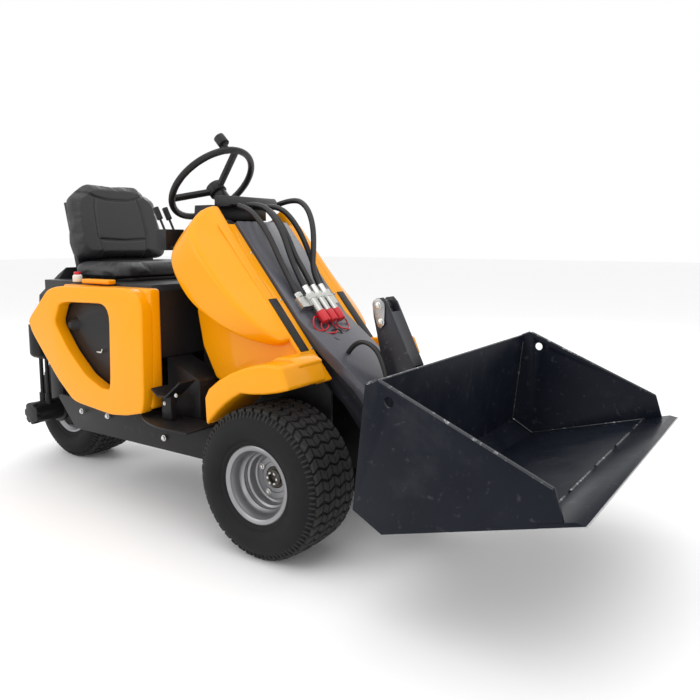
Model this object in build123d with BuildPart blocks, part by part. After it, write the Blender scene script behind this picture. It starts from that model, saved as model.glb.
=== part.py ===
from build123d import *
import math
import os

os.makedirs("parts", exist_ok=True)

# Ride-on three-wheel mini loader, millimetres.
# It is drawn about the front wheels' axle line: +X forward, +Y left, Z = 0 on the ground.
# save() moves each piece so that the origin lies below the middle of the machine's length.

# Layout
wheelbase = 1324.0
track = 600.0
machine_w = 1027.0

# Wheels, all three alike
tyre_d = 457.0
tyre_w = 232.0
rim_d = 235.0
rim_w = 190.0
rim_wall = 6.0
disc_inset = 38.0
hub_r = 34.0
shaft_r = 16.0
running_gap = 0.05
side_gap = 6.0
axle_z = tyre_d / 2
rear_axle_x = -wheelbase

# Wheel motors
motor_r = 48.0

# Chassis
tray_half_w = 298.0
tray_bottom = 225.0
tray_top = 345.0
tray_front = -250.0
tray_rear = -1035.0
plate_t = 8.0
tower_y = 145.0
tower_t = 10.0
deck_z = 500.0
deck_t = 10.0
deck_half_w = 215.0
head_r = 38.0
head_len = 42.0
kingpin_r = 20.0
crown_top = 492.0

# Slope that the wings and the boom's cover lie in, through the upper screw of the wing
slope_deg = 50.4
slope_x = -228.0
slope_z = 901.0

# Boom: pivot, kink and coupler pivot
boom_pivot = (-354.0, 960.0)
coupler_pivot = (345.0, 262.0)
boom_half_w = 118.0
boom_depth = 95.0
boom_wall = 9.0
boom_pin_r = 15.0
boom_boss_r = 42.0
cover_half_w = 131.0
cover_t = 8.0
wing_gap = 7.0

# Cylinders
lift_base = (-500.0, 360.0)
lift_eye = (-249.0, 787.0)
lift_barrel_r = 28.0
lift_rod_r = 14.0
lift_pin_r = 12.0
tilt_base = (195.0, 730.0)
tilt_eye_r = 90.0
tilt_eye_deg = 62.5
tilt_barrel_r = 20.0
tilt_rod_r = 10.0
tilt_pin_r = 10.0
eye_w = 24.0
lug_gap = 5.5
lug_t = 8.0

# Bucket
bucket_wall = 8.0
edge_t = 10.0
edge_len = 100.0
bucket_hole_r = 13.0
# Section round the outside from the back's top edge to the floor's front edge: x, z
bucket_line = [(452, 603), (418, 290), (499, 247), (872, 352)]

# Bodywork
base_half_w = 308.0
panel_in = base_half_w + 30
panel_out = panel_in + 50
seat_half_w = 245.0

# Steering wheel
wheel_ring_r = 163.0
wheel_tube_r = 12.0
wheel_tilt = 43.5
wheel_centre = (-535.0, 1134.0)
hub_drop = 32.0


def side(offset):
    """Upright plane with local X forward and local Y up, at y = -offset, facing -Y."""
    return Plane.XZ.offset(offset)


def on_slope(along, out=0.0):
    """Point (x, z) on the wings' slope: along runs down it, out stands off it."""
    c = math.cos(math.radians(slope_deg))
    s = math.sin(math.radians(slope_deg))
    return (slope_x + along * c + out * s, slope_z - along * s + out * c)


def bent_sheet(points, thickness):
    """Outline of a bent sheet: the given line and its copy, thickness to the left of it."""
    normals = []
    for (x0, z0), (x1, z1) in zip(points, points[1:]):
        run = math.hypot(x1 - x0, z1 - z0)
        normals.append(((z0 - z1) / run, (x1 - x0) / run))
    first = [normals[0]] + normals
    last = normals + [normals[-1]]
    inner = []
    for (x, z), a, b in zip(points, first, last):
        share = thickness / (1 + a[0] * b[0] + a[1] * b[1])
        inner.append((x + share * (a[0] + b[0]), z + share * (a[1] + b[1])))
    return list(points) + inner[::-1]


def turned(point, centre, degrees):
    """Point (x, z) turned about centre, positive towards +Z from +X."""
    a = math.radians(degrees)
    dx = point[0] - centre[0]
    dz = point[1] - centre[1]
    return (
        centre[0] + dx * math.cos(a) - dz * math.sin(a),
        centre[1] + dx * math.sin(a) + dz * math.cos(a),
    )


def toward(start, end, distance):
    """Point at a distance from start on the way to end."""
    run = math.hypot(end[0] - start[0], end[1] - start[1])
    return (
        start[0] + (end[0] - start[0]) * distance / run,
        start[1] + (end[1] - start[1]) * distance / run,
    )


# The origin is midway between the rear tyre and the cutting edge's tip
edge_tip = toward(bucket_line[3], bucket_line[2], -edge_len)
front_axle_x = (wheelbase + tyre_d / 2 - edge_tip[0]) / 2


def save(part, name):
    """Write one node, moved from the axle line to the part's own origin."""
    placed = part.moved(Location((front_axle_x, 0, 0)))
    placed.label = name
    export_step(placed, f"parts/{name}.step")


def both_sides(part, name):
    """Write the right-hand piece and its mirrored left-hand partner."""
    save(part, f"{name}_right")
    save(mirror(part, about=Plane.XZ), f"{name}_left")


# Wheels
# Section of a tyre from its bead to its tread edge: radius and half width
bead = (118.0, 88.0)
tyre_section = [bead, (160.0, tyre_w / 2), (tyre_d / 2, 84.0)]
rim_seat_r = 104.0


def tyre(middle_y, x):
    """Tyre revolved about its axle."""
    plane = Plane(origin=(x, middle_y, axle_z), x_dir=(1, 0, 0), z_dir=(0, 0, 1))
    with BuildPart() as body:
        with BuildSketch(plane):
            left = [(r, -half) for r, half in tyre_section[::-1]]
            Polygon(*tyre_section, *left, (rim_seat_r, -bead[1]), (rim_seat_r, bead[1]), align=None)
        revolve(axis=Axis((x, middle_y, axle_z), (0, 1, 0)))
    return body.part


def rim(middle_y, x, inward):
    """Rim, dished disc and hub. inward is the sign of Y on the motor's side."""
    seat = rim_seat_r - running_gap
    barrel_in = seat - rim_wall
    half = rim_w / 2
    flange = bead[1] + running_gap
    disc_out = disc_inset - rim_wall / 2
    disc_in = disc_inset + rim_wall / 2
    hub_in = disc_in + 3
    hub_out = 10.0
    nut_out = -6.0
    bore = shaft_r + running_gap
    profile = [
        (barrel_in, -half), (rim_d / 2, -half), (rim_d / 2, -flange), (seat, -flange), (seat, flange),
        (rim_d / 2, flange), (rim_d / 2, half), (barrel_in, half), (barrel_in, disc_in), (hub_r, disc_in),
        (hub_r, hub_in), (bore, hub_in), (bore, nut_out + 4), (0, nut_out + 4), (0, nut_out),
        (22, nut_out), (22, hub_out), (hub_r, hub_out), (hub_r, disc_out), (barrel_in, disc_out),
    ]
    plane = Plane(origin=(x, middle_y, axle_z), x_dir=(1, 0, 0), z_dir=(0, 0, inward))
    with BuildPart() as body:
        with BuildSketch(plane):
            with BuildLine():
                Polyline(*profile, close=True)
            make_face()
        revolve(axis=Axis((x, middle_y, axle_z), (0, 1, 0)))
        with BuildSketch(Plane(origin=(x, middle_y, axle_z), x_dir=(1, 0, 0), z_dir=(0, inward, 0))):
            with PolarLocations(70, 4, start_angle=45):
                Circle(8)
        extrude(amount=half, mode=Mode.SUBTRACT)
    return body.part


save(tyre(-track / 2, 0), "front_tyre_right")
save(tyre(track / 2, 0), "front_tyre_left")
save(rim(-track / 2, 0, 1), "front_rim_right")
save(rim(track / 2, 0, -1), "front_rim_left")
save(tyre(0, rear_axle_x), "rear_tyre")
save(rim(0, rear_axle_x, -1), "rear_rim")

# Front wheel motors on the tower plates, with their shafts in the hubs
hub_face = track / 2 - disc_inset - rim_wall / 2 - 3
shaft_end = track / 2 + 6.0 - 5.0
with BuildPart() as front_motors:
    for sign in (-1, 1):
        start = Plane(origin=(0, sign * (tower_y + tower_t), axle_z), x_dir=(1, 0, 0), z_dir=(0, sign, 0))
        with BuildSketch(start):
            Circle(motor_r)
        extrude(amount=hub_face - side_gap - tower_y - tower_t)
        with BuildSketch(start):
            Circle(shaft_r)
        extrude(amount=shaft_end - tower_y - tower_t)
save(front_motors.part, "front_wheel_motors")

# Chassis tray: floor, side plates, engine rails and the plate between the front wheels
tray_side = [
    (-1085, tray_top), (-1085, 328), (-990, tray_bottom), (tray_front, tray_bottom), (tray_front, tray_top),
]
engine_x = (-1000.0, -640.0)
rail_top = 300.0
with BuildPart() as tray:
    for sign in (-1, 1):
        with BuildSketch(side(sign * tray_half_w)):
            Polygon(*tray_side, align=None)
        extrude(amount=-sign * plate_t)
    with BuildSketch(Plane.XY.offset(tray_bottom)):
        with Locations(((tray_front + tray_rear) / 2, 0)):
            Rectangle(tray_front - tray_rear, 2 * tray_half_w - plate_t)
    extrude(amount=plate_t)
    with BuildSketch(Plane.XY.offset(tray_bottom)):
        with Locations((sum(engine_x) / 2, -150), (sum(engine_x) / 2, 150)):
            Rectangle(engine_x[1] - engine_x[0], 30)
    extrude(amount=rail_top - tray_bottom)
save(tray.part, "chassis_tray")

# Tower plates: they carry the front wheels, the boom's pivot and the wings
tower_outline = [
    (-545, tray_bottom + plate_t), (-545, 420), (-440, 520), (-440, 1000), (-360, 1000),
    on_slope(-90, -16), on_slope(400, -16), (100, 470), (95, 130), (tray_front + 2, 130),
    (tray_front + 2, tray_bottom + plate_t),
]
with BuildPart() as tower:
    for sign in (-1, 1):
        with BuildSketch(side(sign * tower_y)):
            Polygon(*tower_outline, align=None)
        extrude(amount=sign * tower_t)
    with BuildSketch(side(-tower_y)):
        with Locations(lift_base):
            Circle(lift_pin_r)
        with Locations((-120, 215)):
            Rectangle(12, 170)
        with Locations((-428, 900)):
            Rectangle(12, 150)
    extrude(amount=2 * tower_y)
save(tower.part, "tower_frame")

# Pin through the tower plates that the boom turns on
with BuildPart() as boom_pin:
    with BuildSketch(side(-tower_y)):
        with Locations(boom_pivot):
            Circle(boom_pin_r)
    extrude(amount=2 * tower_y)
save(boom_pin.part, "boom_pin")

# Rear frame: deck above the rear wheel, its two plates and the steering head
rear_side = [
    (-1000, tray_bottom + plate_t), (-1034, tray_bottom + plate_t), (-1034, 350), (-1110, 440),
    (-1200, deck_z), (-1000, deck_z),
]
with BuildPart() as rear_frame:
    with BuildSketch(Plane.XY.offset(deck_z)):
        with Locations(((rear_axle_x - 60 - 1000) / 2, 0)):
            Rectangle(-1000 - rear_axle_x + 60, 2 * deck_half_w)
    extrude(amount=deck_t)
    for sign in (-1, 1):
        with BuildSketch(side(sign * deck_half_w)):
            Polygon(*rear_side, align=None)
        extrude(amount=-sign * plate_t)
    for sign in (-1, 1):
        with BuildSketch(side(sign * deck_half_w)):
            Polygon((-1045, deck_z), (-1010, deck_z), (-1010, 780), (-1045, 780), align=None)
        extrude(amount=-sign * plate_t)
    with BuildSketch(Plane(origin=(rear_axle_x, 0, crown_top + 3))):
        Circle(head_r)
    extrude(amount=head_len)
    with BuildSketch(Plane(origin=(rear_axle_x, 0, crown_top))):
        Circle(kingpin_r + running_gap)
    extrude(amount=2 * head_len, mode=Mode.SUBTRACT)
save(rear_frame.part, "rear_frame")

# Engine as one plain block on its rails
with BuildPart() as engine:
    with BuildSketch(Plane.XY.offset(rail_top)):
        with Locations((sum(engine_x) / 2, 0)):
            Rectangle(engine_x[1] - engine_x[0], 350)
    extrude(amount=340)
    fillet(engine.edges().filter_by(Axis.Z), 20)
save(engine.part, "engine")

# Rear fork: one leg beside the rear wheel, a crown over it and the kingpin
leg_y = 135.0
leg_t = 16.0
with BuildPart() as fork:
    with BuildSketch(side(leg_y)):
        with Locations((rear_axle_x, axle_z)):
            Circle(58)
        with Locations((rear_axle_x, (axle_z + crown_top) / 2)):
            Rectangle(84, crown_top - axle_z)
    extrude(amount=leg_t)
    with BuildSketch(Plane.XY.offset(crown_top)):
        with Locations((rear_axle_x, (60 - leg_y - leg_t) / 2)):
            Rectangle(84, 60 + leg_y + leg_t)
    extrude(amount=-16)
    with BuildSketch(Plane(origin=(rear_axle_x, 0, crown_top))):
        Circle(kingpin_r)
    extrude(amount=head_len)
save(fork.part, "rear_fork")

# Rear wheel motor with its scalloped end, ports and the two hoses up to the crown
rear_hub_face = disc_inset + rim_wall / 2 + 3
motor_out = 255.0
cap_out = 274.0
hose_r = 8.0
with BuildPart() as rear_motor:
    with BuildSketch(side(rear_hub_face + side_gap)):
        with Locations((rear_axle_x, axle_z)):
            Circle(motor_r)
    extrude(amount=leg_y - rear_hub_face - side_gap)
    with BuildSketch(side(-1.0)):
        with Locations((rear_axle_x, axle_z)):
            Circle(shaft_r)
    extrude(amount=leg_y)
    with BuildSketch(side(leg_y + leg_t)):
        with Locations((rear_axle_x, axle_z)):
            Circle(44)
    extrude(amount=motor_out - leg_y - leg_t)
    with BuildSketch(side(motor_out)):
        with Locations((rear_axle_x, axle_z)):
            Circle(45)
            with PolarLocations(48, 7):
                Circle(9, mode=Mode.SUBTRACT)
    extrude(amount=cap_out - motor_out)
    for dx in (-20, 20):
        with BuildSketch(Plane(origin=(rear_axle_x + dx, -205, axle_z))):
            Circle(13)
        extrude(amount=75)
        with BuildSketch(Plane(origin=(rear_axle_x + dx, -205, axle_z + 75))):
            Circle(hose_r)
        extrude(amount=crown_top - 40 - axle_z - 75)
    with BuildSketch(Plane.XY.offset(crown_top - 40)):
        with Locations((rear_axle_x, -(leg_y + leg_t + 75 + leg_y + leg_t) / 2)):
            Rectangle(80, 75)
    extrude(amount=30)
save(rear_motor.part, "rear_wheel_motor")

# Rear body panels, yellow, with a shaped window and a return at the front corner
# Outline and window: x, z
panel_outline = [
    (-975, 772), (-480, 780), (-485, 372), (-580, 350), (-660, 342), (-863, 362), (-953, 433),
    (-1100, 592), (-1122, 640),
]
window_outline = [(-920, 716), (-645, 722), (-655, 430), (-705, 430), (-790, 465), (-884, 546), (-958, 640)]
with BuildPart() as rear_panel:
    with BuildSketch(side(panel_in)) as outline:
        Polygon(*panel_outline, align=None)
        fillet(outline.vertices(), 32)
    extrude(amount=panel_out - panel_in)
    fillet(rear_panel.faces().sort_by(Axis.Y)[0].edges(), 24)
    with BuildSketch(side(panel_in)) as window:
        Polygon(*window_outline, align=None)
        fillet(window.vertices(), 22)
    extrude(amount=panel_out - panel_in, mode=Mode.SUBTRACT)
    with BuildSketch(side(base_half_w)):
        Polygon((-530, 400), (-505, 400), (-505, 752), (-530, 752), align=None)
        Polygon((-950, 752), (-505, 752), (-505, 768), (-950, 768), align=None)
    extrude(amount=panel_in - base_half_w + 5)
both_sides(rear_panel.part, "rear_panel")

# Black inset panels behind the windows, one on each side, and the cap on the right one
with BuildPart() as insets:
    for sign in (-1, 1):
        with BuildSketch(side(sign * (panel_in - 1))):
            Polygon((-965, 735), (-600, 740), (-610, 400), (-720, 400), (-900, 500), (-990, 640), align=None)
        extrude(amount=-sign * 8)
    with BuildSketch(side(panel_in - 1)):
        with Locations((-898, 632)):
            Circle(27)
    extrude(amount=28, taper=30)
save(insets.part, "inset_panels")

# Seat base: black cover, its front face and top as one bent sheet
base_rear = -1125.0
seat_base_line = [(-505, 540), (-505, 765), (-525, 785), (base_rear, 785)]
with BuildPart() as seat_base:
    with BuildSketch(side(-base_half_w)):
        Polygon(*bent_sheet(seat_base_line, 5), align=None)
    extrude(amount=2 * base_half_w)
    for sign in (-1, 1):
        with BuildSketch(side(sign * base_half_w)):
            Polygon(*seat_base_line[1:], (base_rear, 735), (-505, 735), align=None)
        extrude(amount=-sign * 5)
save(seat_base.part, "seat_base")

# Rear hood: curved black cover behind the seat, closed at both sides, on a bulkhead from the deck
hood_line = [(base_rear, 640), (base_rear, 785), (-1130, 828), (-1150, 800), (-1178, 724), (-1188, 640)]
hood_half_w = 300.0
hood_t = 6.0
bulkhead_x = -1150.0
bulkhead_top = 805.0
# Slanted ends of the hood: half width and height at the top and at the foot of the slant
slant = [(200.0, 840.0), (hood_half_w + 10, 712.0)]
with BuildPart() as hood:
    with BuildSketch(side(-hood_half_w)):
        Polygon(*hood_line, align=None)
    extrude(amount=2 * hood_half_w)
    for sign in (-1, 1):
        with BuildSketch(Plane.YZ.offset(base_rear + 10)):
            Polygon(*[(sign * y, z) for y, z in slant], (sign * slant[1][0], slant[0][1]), align=None)
        extrude(amount=-100, mode=Mode.SUBTRACT)
    offset(amount=-hood_t, openings=hood.faces().sort_by(Axis.Z)[0])
    with BuildSketch(side(-deck_half_w)):
        with Locations((bulkhead_x, (deck_z + deck_t + bulkhead_top) / 2)):
            Rectangle(hood_t, bulkhead_top - deck_z - deck_t)
    extrude(amount=2 * deck_half_w)
save(hood.part, "rear_hood")

# Rear cowl: yellow hollow cover on the deck behind the hood
cowl_line = [
    (rear_axle_x - 56, deck_z + deck_t), (rear_axle_x - 36, 640), (rear_axle_x - 8, 730), (rear_axle_x + 50, 775),
    (-1194, 782), (-1194, deck_z + deck_t),
]
cowl_half_w = 190.0
cowl_t = 6.0
with BuildPart() as cowl:
    with BuildSketch(side(-cowl_half_w)):
        Polygon(*cowl_line, align=None)
    extrude(amount=2 * cowl_half_w)
    fillet(cowl.faces().sort_by(Axis.Y)[0].edges().sort_by(Axis.Z)[1:-1], 24)
    fillet(cowl.faces().sort_by(Axis.Y)[-1].edges().sort_by(Axis.Z)[1:-1], 24)
    offset(amount=-cowl_t, openings=cowl.faces().sort_by(Axis.Z)[0])
save(cowl.part, "rear_cowl")

# Seat: pan, cushion and back
cushion_x = (-1064.0, -745.0)
pan_z = 785.0
cushion_t = 50.0
with BuildPart() as pan:
    with BuildSketch(Plane.XY.offset(pan_z)) as pan_outline:
        with Locations((sum(cushion_x) / 2, 0)):
            Rectangle(cushion_x[1] - cushion_x[0] - 20, 2 * seat_half_w - 60)
        fillet(pan_outline.vertices(), 50)
    extrude(amount=12)
    with BuildSketch(side(-seat_half_w + 60)):
        Polygon((-1093, pan_z), (-1068, pan_z), (-1139, 1080), (-1164, 1080), align=None)
    extrude(amount=2 * seat_half_w - 120)
save(pan.part, "seat_pan")
with BuildPart() as cushion:
    with BuildSketch(Plane.XY.offset(pan_z + 12)) as cushion_outline:
        with Locations((sum(cushion_x) / 2, 0)):
            Rectangle(cushion_x[1] - cushion_x[0], 2 * seat_half_w)
        fillet(cushion_outline.vertices(), 60)
    extrude(amount=cushion_t)
    fillet(cushion.faces().sort_by(Axis.Z)[-1].edges(), 26)
save(cushion.part, "seat_cushion")
back_plane = Plane(origin=(-1082, 0, pan_z + 12 + cushion_t), x_dir=(0, 1, 0), z_dir=(1, 0, 0.24))
with BuildPart() as back:
    with BuildSketch(back_plane) as back_outline:
        Polygon(
            (-215, 0), (215, 0), (228, 70), (208, 250), (120, 312), (-120, 312), (-208, 250), (-228, 70), align=None,
        )
        fillet(back_outline.vertices(), 42)
    extrude(amount=58)
    fillet(back.faces().sort_by(Axis.X)[-1].edges(), 20)
save(back.part, "seat_back")

# Sloped boxes beside the tower under the seat base, and the foot plates
with BuildPart() as boxes:
    for sign in (-1, 1):
        with BuildSketch(side(sign * (tower_y + tower_t))):
            Polygon((-505, tray_bottom + plate_t), (-505, 540), (-350, 475), (-350, tray_bottom + plate_t), align=None)
        extrude(amount=sign * 110)
save(boxes.part, "footwell_boxes")
foot_z = 345.0
foot_out = 422.0
with BuildPart() as feet:
    for sign in (-1, 1):
        with BuildSketch(Plane.XY.offset(foot_z)):
            with BuildLine():
                inner = Line((tray_front, sign * 280), (-610, sign * 280))
                curve = ThreePointArc(inner @ 1, (-490, sign * 384), (-340, sign * foot_out))
                Polyline(curve @ 1, (tray_front, sign * foot_out), inner @ 0)
            make_face()
        extrude(amount=6)
save(feet.part, "foot_plates")

# Drive pedal on its stand, on the right foot plate
with BuildPart() as pedal:
    with BuildSketch(side(330)):
        Polygon((-445, foot_z + 6), (-400, foot_z + 6), (-405, 430), (-435, 430), align=None)
    extrude(amount=8)
    with BuildSketch(side(300)):
        Polygon(*bent_sheet([(-468, 452), (-440, 430), (-400, 430), (-330, 486)], 6), align=None)
    extrude(amount=70)
save(pedal.part, "drive_pedal")

# Wings: pod, flat strip beside the boom, skirt and flared fender
# Pod sections: place along the slope, strip edge, crease y and out, lower edge y and out
pod_sections = [
    (-205, 185, 215, -25, 215, -110),
    (-140, 190, 292, -62, 288, -195),
    (45, 200, 305, -62, 296, -212),
    (205, 205, 300, -40, 285, -147),
    (300, 208, 270, -25, 255, -90),
    (350, 210, 232, -12, 228, -40),
]
wing_in = tower_y + tower_t
strip_in = cover_half_w + wing_gap
strip_t = 12.0
fender_in = 200.0
fender_out = 388.0
arch_top = 490.0


def slope_section(along):
    """Plane across the slope: local X along +Y, local Y out of the slope."""
    x, z = on_slope(along)
    down = (math.cos(math.radians(slope_deg)), 0, -math.sin(math.radians(slope_deg)))
    return Plane(origin=(x, 0, z), x_dir=(0, 1, 0), z_dir=down)


with BuildPart() as wing:
    for along, strip_y, crease_y, crease_out, low_y, low_out in pod_sections:
        with BuildSketch(slope_section(along)):
            Polygon(
                (-wing_in, 0), (-strip_y, 0), (-crease_y, crease_out), (-low_y, low_out), (-wing_in, low_out),
                align=None,
            )
    loft(ruled=True)
    with BuildSketch(side(strip_in)):
        Polygon(on_slope(-112), on_slope(505), on_slope(505, -strip_t), on_slope(-112, -strip_t), align=None)
    extrude(amount=212 - strip_in)
    with BuildSketch(side(wing_in)):
        Polygon(
            on_slope(0, -2), on_slope(505, -2), (60, 500), (-207, 440), (-340, 472), (-398, 579), (-422, 693),
            on_slope(-120, -150), align=None,
        )
    extrude(amount=50)
    with BuildSketch(side(fender_in)):
        with BuildLine():
            top = Polyline((-203, 373), (-207, 461), (-148, 516), (-59, 560), (20, 583), (95, 583), (122, 522))
            under = ThreePointArc(top @ 1, (-61, arch_top), (-186, 392))
            Line(under @ 1, top @ 0)
        make_face()
    extrude(amount=fender_out - fender_in)
both_sides(wing.part, "wing")

# Dark strips let into the wings' flat strips
with BuildPart() as strips:
    for sign in (-1, 1):
        with BuildSketch(side(sign * 166)):
            Polygon(on_slope(195, 0), on_slope(395, 0), on_slope(395, 3), on_slope(195, 3), align=None)
        extrude(amount=sign * 38)
save(strips.part, "wing_strips")

# Hose box between the wings at the top of the tower
with BuildPart() as hose_box:
    with BuildSketch(side(-125)):
        Polygon((-405, 1046), (-345, 1046), (-322, 1052), (-345, 1082), (-405, 1082), align=None)
    extrude(amount=250)
save(hose_box.part, "hose_box")

# Steering console and column
column_dir = (-math.sin(math.radians(wheel_tilt)), 0, math.cos(math.radians(wheel_tilt)))
column_foot = (wheel_centre[0] - column_dir[0] * 145, 0, wheel_centre[1] - column_dir[2] * 145)
with BuildPart() as column:
    with BuildSketch(side(-tower_y + 2)):
        Polygon((-500, 900), (-442, 900), (-442, 1004), (-405, 1004), (-405, 1052), (-480, 1052), align=None)
    extrude(amount=2 * tower_y - 4)
    with BuildSketch(Plane(origin=column_foot, x_dir=(0, 1, 0), z_dir=column_dir)):
        Circle(27)
    extrude(amount=145 - hub_drop - 20)
save(column.part, "steering_column")

# Steering wheel: rim, three spokes, hub and knob
hub_plane = Plane(origin=(wheel_centre[0], 0, wheel_centre[1]), x_dir=(0, 1, 0), z_dir=column_dir)
with BuildPart() as steering_wheel:
    with BuildSketch(Plane(origin=hub_plane.origin, x_dir=(0, 1, 0), z_dir=hub_plane.y_dir)):
        with Locations((wheel_ring_r, 0)):
            Circle(wheel_tube_r)
    revolve(axis=Axis(hub_plane.origin, hub_plane.z_dir))
    with BuildSketch(hub_plane.offset(-hub_drop - 12)):
        Circle(32)
    extrude(amount=34)
    for angle in (-90, 30, 150):
        spoke_out = hub_plane.x_dir * math.cos(math.radians(angle)) + hub_plane.y_dir * math.sin(math.radians(angle))
        with BuildSketch(Plane(origin=hub_plane.origin, x_dir=spoke_out, z_dir=spoke_out.cross(hub_plane.z_dir))):
            Polygon(
                (10, -hub_drop - 6), (wheel_ring_r, -7), (wheel_ring_r, 7), (10, -hub_drop + 8), align=None,
            )
        extrude(amount=11, both=True)
    knob_plane = Plane(
        origin=hub_plane.from_local_coords((-35, -math.sqrt(wheel_ring_r**2 - 35**2), 0)),
        x_dir=(0, 1, 0), z_dir=column_dir,
    )
    with BuildSketch(knob_plane):
        Circle(8)
    extrude(amount=34)
    with BuildSketch(knob_plane.offset(30)):
        Circle(20)
    extrude(amount=34)
save(steering_wheel.part, "steering_wheel")

# Control valve behind the right pod with its two levers
with BuildPart() as valve:
    with BuildSketch(Plane.XY.offset(900)):
        with Locations((-530, -215)):
            Rectangle(56, 80)
    extrude(amount=70)
    with BuildSketch(Plane.XY.offset(905)):
        with Locations((-503, -190)):
            Rectangle(65, 94)
    extrude(amount=8)
    for dy in (-20, 20):
        lever_plane = Plane(origin=(-530, -215 + dy, 968), x_dir=(0, 1, 0), z_dir=(-0.45, -0.1, 1))
        with BuildSketch(lever_plane):
            Circle(4)
        extrude(amount=45)
        with BuildSketch(lever_plane.offset(40)):
            Circle(10)
        extrude(amount=42)
save(valve.part, "control_valve")

# Hydraulic canister hung beside the rear deck on a bracket
canister_at = (rear_axle_x + 62, -262.0)
canister_r = 34.0
with BuildPart() as canister:
    with BuildSketch(Plane(origin=(*canister_at, 470))):
        Circle(canister_r)
    extrude(amount=130)
    fillet(canister.faces().sort_by(Axis.Z)[0].edges(), 18)
    with BuildSketch(Plane.XY.offset(deck_z + deck_t)):
        with Locations((canister_at[0], -229)):
            Rectangle(40, 66)
    extrude(amount=12)
save(canister.part, "canister")

# Boom: two bent side plates, a top plate, tubes at the pivots and lugs for the lift rod
boom_top = [on_slope(-120), on_slope(285), (190, 498), (322, 342)]
boom_under = bent_sheet(boom_top, -boom_depth)[len(boom_top):]
boom_end = [turned((coupler_pivot[0] + boom_boss_r, coupler_pivot[1]), coupler_pivot, a) for a in (50, 230)]
coupler_pin_r = 14.0
with BuildPart() as boom:
    for sign in (-1, 1):
        with BuildSketch(side(sign * boom_half_w)):
            Polygon(*boom_top, *boom_end, *boom_under, align=None)
            with Locations(coupler_pivot, boom_pivot):
                Circle(boom_boss_r)
        extrude(amount=-sign * boom_wall)
        with BuildSketch(side(sign * (eye_w / 2 + lug_gap))):
            Polygon(on_slope(45, -5), on_slope(105, -5), on_slope(92, -112), on_slope(55, -112), align=None)
        extrude(amount=sign * lug_t)
    with BuildSketch(side(-boom_half_w)):
        Polygon(*bent_sheet(boom_top, -boom_wall), align=None)
        with Locations(coupler_pivot):
            Circle(boom_boss_r - 12)
    extrude(amount=2 * boom_half_w)
    with BuildSketch(side(-tower_y + 5)):
        with Locations(boom_pivot):
            Circle(boom_boss_r - 12)
    extrude(amount=2 * (tower_y - 5))
    with BuildSketch(side(-tower_y)):
        with Locations(boom_pivot):
            Circle(boom_pin_r + running_gap)
        with Locations(coupler_pivot):
            Circle(coupler_pin_r + running_gap)
    extrude(amount=2 * tower_y, mode=Mode.SUBTRACT)
save(boom.part, "boom")

# Boom cover: bent sheet on the boom with a flange down each side, and the bracket for the couplings
cover_line = [*[on_slope(a) for a in (-118, 285)], boom_top[2], toward(boom_top[2], boom_top[3], 50)]
flange_drop = 27.0
with BuildPart() as cover:
    with BuildSketch(side(-cover_half_w)):
        Polygon(*bent_sheet(cover_line, cover_t), align=None)
    extrude(amount=2 * cover_half_w)
    for sign in (-1, 1):
        with BuildSketch(side(sign * cover_half_w)):
            Polygon(*bent_sheet(cover_line, -flange_drop), align=None)
        extrude(amount=-sign * 8)
save(cover.part, "boom_cover")

# Quick couplings side by side on their bracket, with their caps
coupling_y = (-50.0, -8.0, 34.0)
coupling_start = 185.0
coupling_len = 100.0
coupling_out = 38.0
coupling_r = 13.0
bracket_start = 215.0
bracket_y = (-102.0, 90.0)
outer_y = (-84.0, 72.0)
outer_out = 22.0
outer_nut = 16.0


def slope_plane(along, out, y):
    """Plane facing down the slope with its origin at the given place."""
    section = slope_section(along)
    return Plane(origin=section.from_local_coords((y, out, 0)), x_dir=section.x_dir, z_dir=section.z_dir)


with BuildPart() as bracket:
    with BuildSketch(side(-bracket_y[1])):
        Polygon(
            on_slope(bracket_start, cover_t), on_slope(255, cover_t), on_slope(255, 30), on_slope(bracket_start, 30),
            align=None,
        )
    extrude(amount=bracket_y[1] - bracket_y[0])
    for y in outer_y:
        with BuildSketch(slope_plane(bracket_start - outer_nut, outer_out, y)):
            RegularPolygon(14, 6)
        extrude(amount=outer_nut)
    for y in coupling_y:
        with BuildSketch(slope_plane(coupling_start, coupling_out, y)):
            Circle(coupling_r)
        extrude(amount=coupling_len)
        with BuildSketch(slope_plane(coupling_start + 30, coupling_out, y)):
            RegularPolygon(17, 6)
        extrude(amount=22)
save(bracket.part, "couplings")
with BuildPart() as caps:
    for y in coupling_y:
        with BuildSketch(slope_plane(coupling_start + coupling_len, coupling_out, y)):
            Circle(16)
        extrude(amount=42)
    fillet(caps.faces().sort_by(Axis.Z)[:3].edges(), 5)
save(caps.part, "coupling_caps")

# Hoses over the boom, held at both ends
# Columns: y at the box, y at the coupling, height of the arch
hoses = [
    (-98, outer_y[0], 62),
    (-56, coupling_y[0], 92),
    (-16, coupling_y[1], 74),
    (96, coupling_y[2], 140),
    (40, outer_y[1], 84),
]
boom_hose_r = 9.5
tilt_hose_r = 8.0
arc_share = 0.45


def hose(points, radius):
    """Tube along straight runs joined by arcs as large as the runs allow."""
    path = [Vector(*p) for p in points]
    radii = []
    for a, b, c in zip(path, path[1:], path[2:]):
        turn = math.radians((b - a).get_angle(c - b))
        radii.append(arc_share * min((b - a).length, (c - b).length) / math.tan(turn / 2))
    print("hose radii", [round(r) for r in radii])
    with BuildPart() as tube:
        with BuildLine():
            line = FilletPolyline(*path, radius=radii)
        with BuildSketch(Plane(origin=line @ 0, z_dir=line % 0)):
            Circle(radius)
        sweep()
    return tube.part


def over_slope(along, out, y):
    """Point in space from its place along the slope, its height off it and y."""
    x, z = on_slope(along, out)
    return (x, y, z)


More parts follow.
